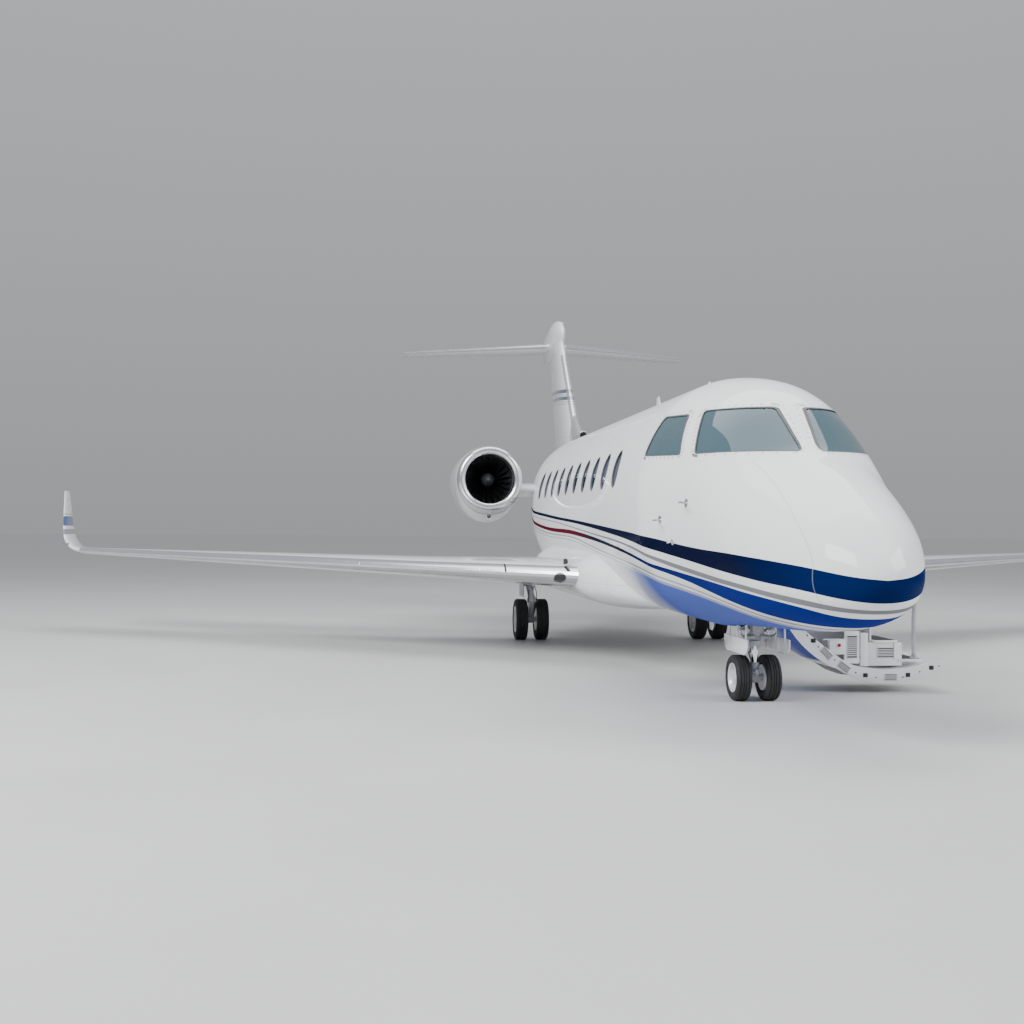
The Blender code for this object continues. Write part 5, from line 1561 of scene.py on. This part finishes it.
# %% Main legs
WHEEL_X, HEAD_X, DOOR_X = 1.50, 1.58, 1.665
for side, word in SIDES:
    x = side * WHEEL_X
    hub = at(x, 10.64, 0.336)
    head, knee = at(side * HEAD_X, 10.44, 0.99), at(x, 10.46, 0.66)
    slant = (knee - head).normalized()
    parts = [
        block("leg_head", (side * HEAD_X - 0.098, 10.342, 0.942),
              (side * HEAD_X + 0.098, 10.538, 1.0195), 0.016, 3),
        turned("main_tube", ((0.0, 0.0), (0.0, 0.070), (0.06, 0.070), (0.08, 0.055), (0.25, 0.055),
                             (0.27, 0.064), (0.33, 0.064), (0.345, 0.05), (0.345, 0.0)),
               head, slant, 36),
        rod("knee_pin", knee - ACROSS * 0.082, knee + ACROSS * 0.082, 0.040, 32, 0.005),
        rod("trail_beam", knee, hub, 0.043, 28, 0.006),
        rod("hub_barrel", hub - ACROSS * 0.0565, hub + ACROSS * 0.0565, 0.060, 36, 0.006),
        rod("shock_barrel", at(x, 10.52, 0.85), at(x, 10.575, 0.64), 0.034, 28, 0.005),
        rod("shock_eye", at(x - 0.035, 10.516, 0.865), at(x + 0.035, 10.516, 0.865), 0.026, 24,
            0.003),
        block("shock_lug", (x - 0.030, 10.44, 0.835), (x + 0.030, 10.53, 0.895), 0.006),
        block("beam_lug", (x - 0.028, 10.60, 0.36), (x + 0.028, 10.66, 0.415), 0.005),
    ]
    low, high = x_range(side, 1.664, 1.678)
    parts.append(block("door_slab", (low, 10.225, 0.725), (high, 10.755, 0.998), 0.005))
    low, high = x_range(side, 1.652, 1.666)
    for s in (10.32, 10.46, 10.60):
        parts.append(rod("door_link", at(side * 1.59, 10.46, 0.92), at(side * DOOR_X, s, 0.90),
                         0.011, 12))
        parts.append(block("slab_rib", (low, s - 0.008, 0.745), (high, s + 0.008, 0.985),
                           0.002, 1))
    fit(smooth(join(f"main_leg_{word}", parts), 35), gear_paint, "root",
        (f"main_gear_leg_{word}",))
    piston = rod("shock_piston", at(x, 10.572, 0.65), at(x, 10.632, 0.40), 0.021, 28)
    fit(piston, chrome, "root")
    run = ((0.02, 10.42, 0.93), (0.060, 10.40, 0.80), (0.065, 10.43, 0.62),
           (0.052, 10.56, 0.46), (0.050, 10.63, 0.40))
    hoses = [bent_tube("brake_hose", [at(x + way * out, s, z) for out, s, z in run],
                       0.0065, 12, 8) for way in (-1, 1)]
    fit(smooth(join(f"brake_hoses_{word}", hoses), 60), hose_black, "root")
    wheel_pair(f"main_{word}", hub, 0.17, *MAIN_TYRE, f"main_wheels_{word}", 10)
print("main leg hub:", [round(value, 3) for value in hub])

# %% [markdown]
# ## Cabin
# The cabin is seen through its windows and the open door. Each seat is a set of padded
# cushions, crowned and drawn in at the seams, over a shell on the floor rail. Cloth is
# not simulated here, since these are firm upholstered foams: the form is drawn by code.

# %% Floor, partitions and galley
FLOOR_TOP, SEAT_X, BACK_LEAN = 1.50, 0.65, -76
carpet = worn("carpet", (0.17, 0.155, 0.135), 0.95, 0.0, 260.0, 0.004, 0.3)
veneer = Finish("veneer", (0.20, 0.085, 0.035), 0.28)
figure = veneer.grain(2.2, 6.0, (1.5, 1.5, 14))
veneer.set("Base Color", veneer.mix(figure, (0.26, 0.12, 0.05), (0.10, 0.04, 0.018)))
veneer.relief(figure, 0.0004)
leather = Finish("leather", (0.55, 0.47, 0.36), 0.48)
pores = leather.grain(170.0, 3.0)
patina = leather.grain(3.5, 4.0)
leather.set("Base Color", leather.mix(patina * 0.5, (0.58, 0.50, 0.39), (0.44, 0.36, 0.27)))
leather.set("Roughness", patina * 0.2 + 0.36)
leather.relief(pores * 0.5 + leather.grain(14.0, 2.0), 0.0015)
plastic = worn("panel_plastic", (0.05, 0.052, 0.058), 0.5, 0.0, 40.0)

for name, finish in (("cabin_floor", carpet), ("cockpit_partition", veneer.material),
                     ("aft_partition", lining), ("galley_cabinet", veneer.material)):
    recoat(nodes[name], finish)
fittings, pulls = [], []
for z in (1.72, 2.05, 2.38, 2.72):
    for start, end, grip in ((4.00, 4.38, 4.13), (4.40, 4.76, 4.52)):
        fittings.append(block("drawer_face", (-0.424, start, z), (-0.412, end, z + 0.30), 0.004))
        level = z + 0.27
        pulls.append(rod("pull", at(-0.398, grip, level), at(-0.398, grip + 0.12, level),
                         0.006, 14))
        for s in (grip + 0.01, grip + 0.11):
            pulls.append(rod("pull_foot", at(-0.414, s, level), at(-0.398, s, level), 0.004, 10))
fit(smooth(join("galley_fronts", fittings)), veneer.material, "root")
fit(smooth(join("galley_pulls", pulls)), bright_metal, "root")
print("drawer fronts:", len(fittings))

# %% Cushions
CHANNEL_DEPTH, CHANNEL_WIDTH, SEAM_DRAW, PAD_ROUND = 0.012, 0.06, 0.030, 0.32


def cushion(name, size, crown=0.018, channels=0, cuts=11):
    """A crowned pad about the origin, rounded, drawn in at its seams and channels."""
    bpy.ops.mesh.primitive_cube_add(size=2)
    pad = bpy.context.object
    pad.name = pad.data.name = name
    pick(pad)
    bpy.ops.object.mode_set(mode="EDIT")
    bpy.ops.mesh.select_all(action="SELECT")
    bpy.ops.mesh.subdivide(number_cuts=cuts)
    bpy.ops.object.mode_set(mode="OBJECT")
    half = [extent / 2 for extent in size]
    radius = min(half) * 0.72
    for vertex in pad.data.vertices:
        spread = Vector([math.sin(c * math.pi / 2) * h for c, h in zip(vertex.co, half)])
        inner = Vector([max(-(h - radius), min(h - radius, c)) for c, h in zip(spread, half)])
        bulge = spread - inner
        if bulge.length > 0:
            spread = inner + bulge.normalized() * radius
        across, along, up = (c / h for c, h in zip(spread, half))
        dome = (1 - across ** 2) * (1 - along ** 2)
        spread.x *= 1 - SEAM_DRAW * (1 - along ** 2) * across ** 6
        spread.y *= 1 - SEAM_DRAW * (1 - across ** 2) * along ** 6
        if up > 0:
            spread.z += crown * dome * up
            for i in range(channels):
                line = -1 + 2 * (i + 1) / (channels + 1)
                spread.z -= CHANNEL_DEPTH * math.exp(-((along - line) / CHANNEL_WIDTH) ** 2) * up
        vertex.co = spread
    return smooth(pad, 60)


def piping(name, size, level, radius=0.0045):
    """The welt round a pad's top edge."""
    wide, deep = size[0] / 2 * 0.93, size[1] / 2 * 0.93
    ring = [Vector((wide * squared(math.cos(math.tau * i / 40), PAD_ROUND),
                    deep * squared(math.sin(math.tau * i / 40), PAD_ROUND), level))
            for i in range(40)]
    rings = []
    for i, point in enumerate(ring):
        outward = (ring[(i + 1) % 40] - ring[i - 1]).normalized().cross(UP)
        rings.append([point + (outward * math.cos(a) + UP * math.sin(a)) * radius
                      for a in [math.tau * k / 6 for k in range(6)]])
    return loft(name, rings, loop=True)


def moved(x, y, z):
    return Matrix.Translation(Vector((x, y, z)))


def seat(name, x, s, facing, width):
    """A seat facing forward (1) or aft (-1): a shell with arms, and its padded pieces."""
    home = Matrix.Translation(at(x, s, FLOOR_TOP)) @ Matrix.Diagonal((1, facing, 1, 1))
    lean = moved(0, 0.255, 0.58) @ Matrix.Rotation(math.radians(BACK_LEAN), 4, "X")
    arm_out = width / 2 - 0.033
    soft = (((width - 0.13, 0.47, 0.105), moved(0, -0.045, 0.195), 1, 0.020),
            ((width - 0.13, 0.50, 0.085), lean @ moved(0, -0.045, 0.035), 2, 0.018),
            ((width - 0.20, 0.15, 0.060), lean @ moved(0, 0.285, 0.040), 0, 0.014))
    hard = (((0.062, 0.44, 0.30), moved(-arm_out, -0.02, 0.28)),
            ((0.062, 0.44, 0.30), moved(arm_out, -0.02, 0.28)),
            ((width - 0.14, 0.72, 0.045), lean @ moved(0, 0.03, -0.045)),
            ((width - 0.14, 0.42, 0.10), moved(0, -0.02, 0.085)))
    pads, shell = [], []
    for number, (size, spot, channels, crown) in enumerate(soft):
        pad = cushion(f"{name}_pad_{number}", size, crown, channels)
        welt = piping("welt", size, size[2] * 0.36)
        pads.append(join(f"{name}_pad_{number}", [pad, welt]))
        pads[-1].data.transform(home @ spot)
    for size, spot in hard:
        shell.append(cushion("shell", size, 0.0, 0, 7))
        shell[-1].data.transform(spot)
    body = join(f"{name}_shell", shell)
    body.data.transform(home)
    if facing < 0:
        for piece in (*pads, body):
            piece.data.flip_normals()
    return pads, body


all_pads = []
for side, word in SIDES:
    x = side * SEAT_X
    shells = []
    for number, (s, facing) in enumerate(((5.60, -1), (6.95, 1), (8.15, -1), (9.50, 1))):
        pads, body = seat(f"cabin_seat_{word}_{number}", x, s, facing, 0.54)
        shells.append(body)
        all_pads += [fit(pad, leather.material, "root") for pad in pads]
    fit(smooth(join(f"cabin_seat_shells_{word}", shells), 50), leather.material, "root",
        (f"cabin_seats_{word}",))
    rails = [block("seat_rail", (x + shift - 0.014, 5.20, FLOOR_TOP),
                   (x + shift + 0.014, 9.95, FLOOR_TOP + 0.018), 0.003)
             for shift in (-0.045, 0.045)]
    fit(smooth(join(f"seat_rails_{word}", rails)), steel, "root")
    pads, body = seat(f"pilot_seat_{word}", side * 0.51, 3.18, 1, 0.46)
    all_pads += [fit(pad, leather.material, "root") for pad in pads]
    fit(body, plastic, "root", (f"pilot_seat_{word}",))
print("padded pieces:", len(all_pads))

# %% Instrument panel
recoat(nodes["instrument_panel"], plastic)
screen_glow = Finish("screen", (0.01, 0.012, 0.016), 0.12)
x, _, z = screen_glow.place()
lines = x.every(0.06).near(0.0, 0.004, 0.002).most(z.every(0.045).near(0.0, 0.003, 0.002))
tone = screen_glow.mix(lines * 0.35, (0.012, 0.016, 0.022), (0.05, 0.16, 0.20))
screen_glow.set("Base Color", tone)
screens = [block("screen", (x - 0.14, 2.414, 2.10), (x + 0.14, 2.424, 2.34), 0.004)
           for x in (-0.60, -0.20, 0.20, 0.60)]
fit(smooth(join("cockpit_screens", screens)), screen_glow.material, "root")
knobs = []
for i in range(9):
    spot = at(-0.64 + 0.16 * i, 2.425, 2.03)
    knobs.append(rod("knob", spot, spot + ALONG * 0.018, 0.011, 16, 0.002))
for way in (-1, 1):
    hub = at(way * 0.51, 2.52, 2.02)
    knobs.append(rod("column", at(way * 0.51, 2.42, 1.94), hub, 0.020, 16, 0.003))
    grip = ((-0.13, 0.02, 0.12), (-0.14, 0, 0), (0, 0, -0.03), (0.14, 0, 0), (0.13, 0.02, 0.12))
    knobs.append(bent_tube("yoke", [hub + Vector(place) for place in grip], 0.014, 12, 6))
fit(smooth(join("cockpit_controls", knobs), 40), plastic, "root")
print("screens:", len(screens))

# %% [markdown]
# ## Small outside fittings
# Probes, aerials, lamps and static wicks are what a close look finds on a clean skin.

# %% Probes and aerials
fittings, bases = [], []
for way in (-1, 1):
    for s, z in ((2.54, 2.115), (3.20, 1.95)):
        spot, normal = on_skin(at(way * 1.4, s, z), ACROSS * way)
        fittings.append(bent_tube("pitot", [spot - normal * 0.01, spot + normal * 0.050,
                                            spot + normal * 0.085 - ALONG * 0.035,
                                            spot + normal * 0.090 - ALONG * 0.16], 0.0085, 14, 8))
        fittings.append(rod("pitot_tip", spot + normal * 0.090 - ALONG * 0.15,
                            spot + normal * 0.090 - ALONG * 0.20, 0.0085, 20, 0, 0.005))
        bases.append(turned("probe_base", ((-0.003, 0.0), (-0.003, 0.045), (0.002, 0.044),
                                           (0.004, 0.020), (0.006, 0.0)), spot, normal, 28))
    spot, normal = on_skin(at(way * 1.4, 2.95, 1.72), ACROSS * way)
    bases.append(turned("vane_base", ((-0.003, 0.0), (-0.003, 0.036), (0.004, 0.034), (0.006, 0.0)),
                        spot, normal, 28))
    fittings.append(rod("vane", spot + normal * 0.005, spot + normal * 0.055 + ALONG * 0.03, 0.006,
                        12, 0.001))
fit(smooth(join("probe_tubes", fittings), 40), steel, "root")
fit(smooth(join("probe_bases", bases), 40), bright_metal, "root")


def blade_aerial(name, s, height, chord, below=False):
    """A swept fin aerial on the crown or the keel of the hull."""
    rings = []
    _, low, _, high = hull_at(s)
    way = -1 if below else 1
    foot = (low if below else high) - way * 0.012
    for share, size in ((0.0, 1.0), (0.55, 0.80), (0.92, 0.60), (1.0, 0.42)):
        rings.append([at(up, s + 0.45 * share * chord + along, foot + way * height * share)
                      for along, up in section(chord * size, 0.022 * size)])
    return loft(name, rings)


aerials = [blade_aerial("aerial_a", 7.75, 0.24, 0.30), blade_aerial("aerial_b", 11.35, 0.10, 0.22),
           blade_aerial("aerial_c", 5.10, 0.14, 0.24),
           blade_aerial("aerial_d", 4.95, 0.16, 0.24, True)]
fit(smooth(join("aerials", aerials), 40), white_gloss, "root")
beacon_red = plain_gloss("beacon_red", (0.42, 0.02, 0.02), 0.10)
beacon = turned("beacon", ((-0.02, 0.0), (-0.02, 0.055), (0.0, 0.055), (0.02, 0.052),
                           (0.055, 0.042), (0.078, 0.022), (0.084, 0.0)),
                at(0, 9.7, hull_at(9.7)[3]), UP, 36)
fit(beacon, beacon_red, "root")
print("aerials:", len(aerials))

# %% Wing and tail fittings
STRIP_OUT, LAMP_OUT, LAMP_LEVEL = 2.26, 1.56, 1.165
dark_lens = worn("dark_lens", (0.035, 0.037, 0.042), 0.12, 0.3, 30.0)
lamp_parts, glass_parts, fences = [], [], []
green_lens = plain_gloss("green_lens", (0.01, 0.30, 0.10), 0.08)
port_lens = plain_gloss("port_lens", (0.45, 0.012, 0.015), 0.08)
for side, word in SIDES:
    for radius, proud, pieces in ((0.086, 0.0015, lamp_parts), (0.074, 0.003, glass_parts)):
        flush = wing_whole("landing_lamp", side)
        carve(flush, rod("bore", at(side * LAMP_OUT, 7.00, LAMP_LEVEL),
                         at(side * LAMP_OUT, 7.26, LAMP_LEVEL), radius, 40), "INTERSECT")
        flush.data.transform(Matrix.Translation(-ALONG * proud))
        pieces.append(flush)
    _, edge, chord, level, thickness, _ = row_at(WING, STRIP_OUT)
    top = [at(side * STRIP_OUT, edge + share * chord, level + half_height(share, thickness))
           for share in (0.0002, 0.003, 0.010, 0.022, 0.040)]
    fences.append(bent_tube("stall_strip", top, 0.013, 10, 5))
    fences.append(slab("strake", [(7.08, 1.37), (7.13, 1.425), (7.21, 1.43), (7.24, 1.35)],
                       *x_range(side, 1.455, 1.50), 0.006))
    nav = turned("nav_lens", ((-0.05, 0.0), (-0.035, 0.014), (0.0, 0.022), (0.04, 0.016),
                              (0.06, 0.0)), at(side * 9.355, 12.475, 1.515), ALONG, 24)
    fit(nav, green_lens if side == RIGHT else port_lens, "root")
    wicks = []
    for out in (6.9, 7.5, 8.1, 8.6):
        row = row_at(WING, out)
        tail_edge = row[1] + row[2]
        wicks.append(rod("wick", at(side * out, tail_edge - 0.004, row[3]),
                         at(side * out, tail_edge + 0.11, row[3] + 0.004), 0.0028, 8))
    fit(smooth(join(f"wicks_{word}", wicks)), steel, f"aileron_{word}")
fit(smooth(join("landing_rims", lamp_parts), 40), steel, "root")
fit(smooth(join("landing_glasses", glass_parts), 40), dark_lens, "root")
fit(smooth(join("wing_strips", fences), 40), black_rubber, "root")
inlet_spot, inlet_look = at(0.03, 17.262, 6.362), Vector((0.1, -0.80, 0.60)).normalized()
fit(turned("bullet_inlet", ((-0.02, 0.030), (0.002, 0.030), (0.006, 0.036), (0.002, 0.042),
                            (-0.02, 0.042), (-0.02, 0.030)), inlet_spot, inlet_look, 32),
    bright_metal, "root")
# Painted shade: a dark plug set just inside the bullet's inlet ring stands for the dark depth of
# the intake.
fit(turned("inlet_painted_shade", ((-0.02, 0.0), (-0.02, 0.031), (-0.004, 0.031), (-0.003, 0.0)),
           inlet_spot, inlet_look, 24), dark_metal, "root")
fit(turned("tail_outlet", ((0.0, 0.0), (0.0, 0.085), (0.09, 0.095), (0.10, 0.115),
                           (0.09, 0.125), (-0.05, 0.13), (-0.05, 0.0)),
           at(0, 18.37, 2.76), ALONG, 40), hot_metal, "root")
print("pieces fitted:", len(made))

# %% [markdown]
# ## Stage, light and camera
# A pale floor and three broad lamps show the shape without hard glare. The camera's place
# was solved from the photo: ahead of the starboard wing, at head height.

# %% Floor and lights
def soft_lamp(name, place, target, power, width, height):
    lamp = bpy.data.lights.new(name, "AREA")
    lamp.shape = "RECTANGLE"
    lamp.energy, lamp.size, lamp.size_y = power, width, height
    holder = new_piece(name, lamp)
    holder.location = place
    holder.rotation_euler = (target - place).to_track_quat("-Z", "Y").to_euler()


bpy.ops.mesh.primitive_plane_add(size=400)
floor = bpy.context.object
floor.name = "studio_floor"
floor_finish = Finish("studio_floor", (0.55, 0.55, 0.545), 0.6)
wear = floor_finish.grain(0.35, 5.0)
floor_finish.set("Base Color", floor_finish.mix(wear, (0.50, 0.50, 0.495), (0.58, 0.58, 0.575)))
floor_finish.set("Roughness", wear * 0.25 + 0.40)
floor.data.materials.append(floor_finish.material)
soft_lamp("key_lamp", at(-16, -6, 15), at(0, 7, 2), 6800, 12, 9)
soft_lamp("fill_lamp", at(15, -4, 11), at(0, 6, 2), 3000, 12, 9)
soft_lamp("top_lamp", at(0, 12, 20), at(0, 10, 0), 3000, 22, 14)

world = bpy.data.worlds.new("soft_sky")
bpy.context.scene.world = world
world.use_nodes = True
sky = world.node_tree
background = sky.nodes["Background"]
spot = sky.nodes.new("ShaderNodeTexCoord")
parts = sky.nodes.new("ShaderNodeSeparateXYZ")
ramp = sky.nodes.new("ShaderNodeValToRGB")
sky.links.new(spot.outputs["Generated"], parts.inputs[0])
sky.links.new(parts.outputs["Z"], ramp.inputs[0])
sky.links.new(ramp.outputs[0], background.inputs["Color"])
ramp.color_ramp.elements[0].position = 0.0
ramp.color_ramp.elements[0].color = (0.50, 0.51, 0.52, 1)
ramp.color_ramp.elements[1].position = 0.6
ramp.color_ramp.elements[1].color = (0.80, 0.83, 0.88, 1)
background.inputs["Strength"].default_value = 0.72
print("lamps:", len(bpy.data.lights))

# %% Camera
SENSOR, FOCAL_PIXELS, IMAGE_PIXELS = 36.0, 1221.5, 1024
EYE_PLACE = at(-4.141, -9.434, 1.870)
eye = bpy.data.cameras.new("eye")
eye.sensor_width, eye.lens = SENSOR, SENSOR * FOCAL_PIXELS / IMAGE_PIXELS
eye.clip_end = 1000
camera = new_piece("eye", eye)
bpy.context.scene.camera = camera
yaw, pitch, roll = (math.radians(angle) for angle in (6.591, 0.672, 0.375))
ahead = Vector((math.sin(yaw) * math.cos(pitch), math.cos(yaw) * math.cos(pitch),
                math.sin(pitch)))
aside = Vector((math.cos(yaw), -math.sin(yaw), 0))
above = aside.cross(ahead)
right = aside * math.cos(roll) + above * math.sin(roll)
over = above * math.cos(roll) - aside * math.sin(roll)
camera.matrix_world = Matrix.Translation(EYE_PLACE) @ Matrix(
    (right, over, -ahead)).transposed().to_4x4()
print("lens in millimetres:", round(eye.lens, 2))

# %% Finish
print("pieces made:", len(made))
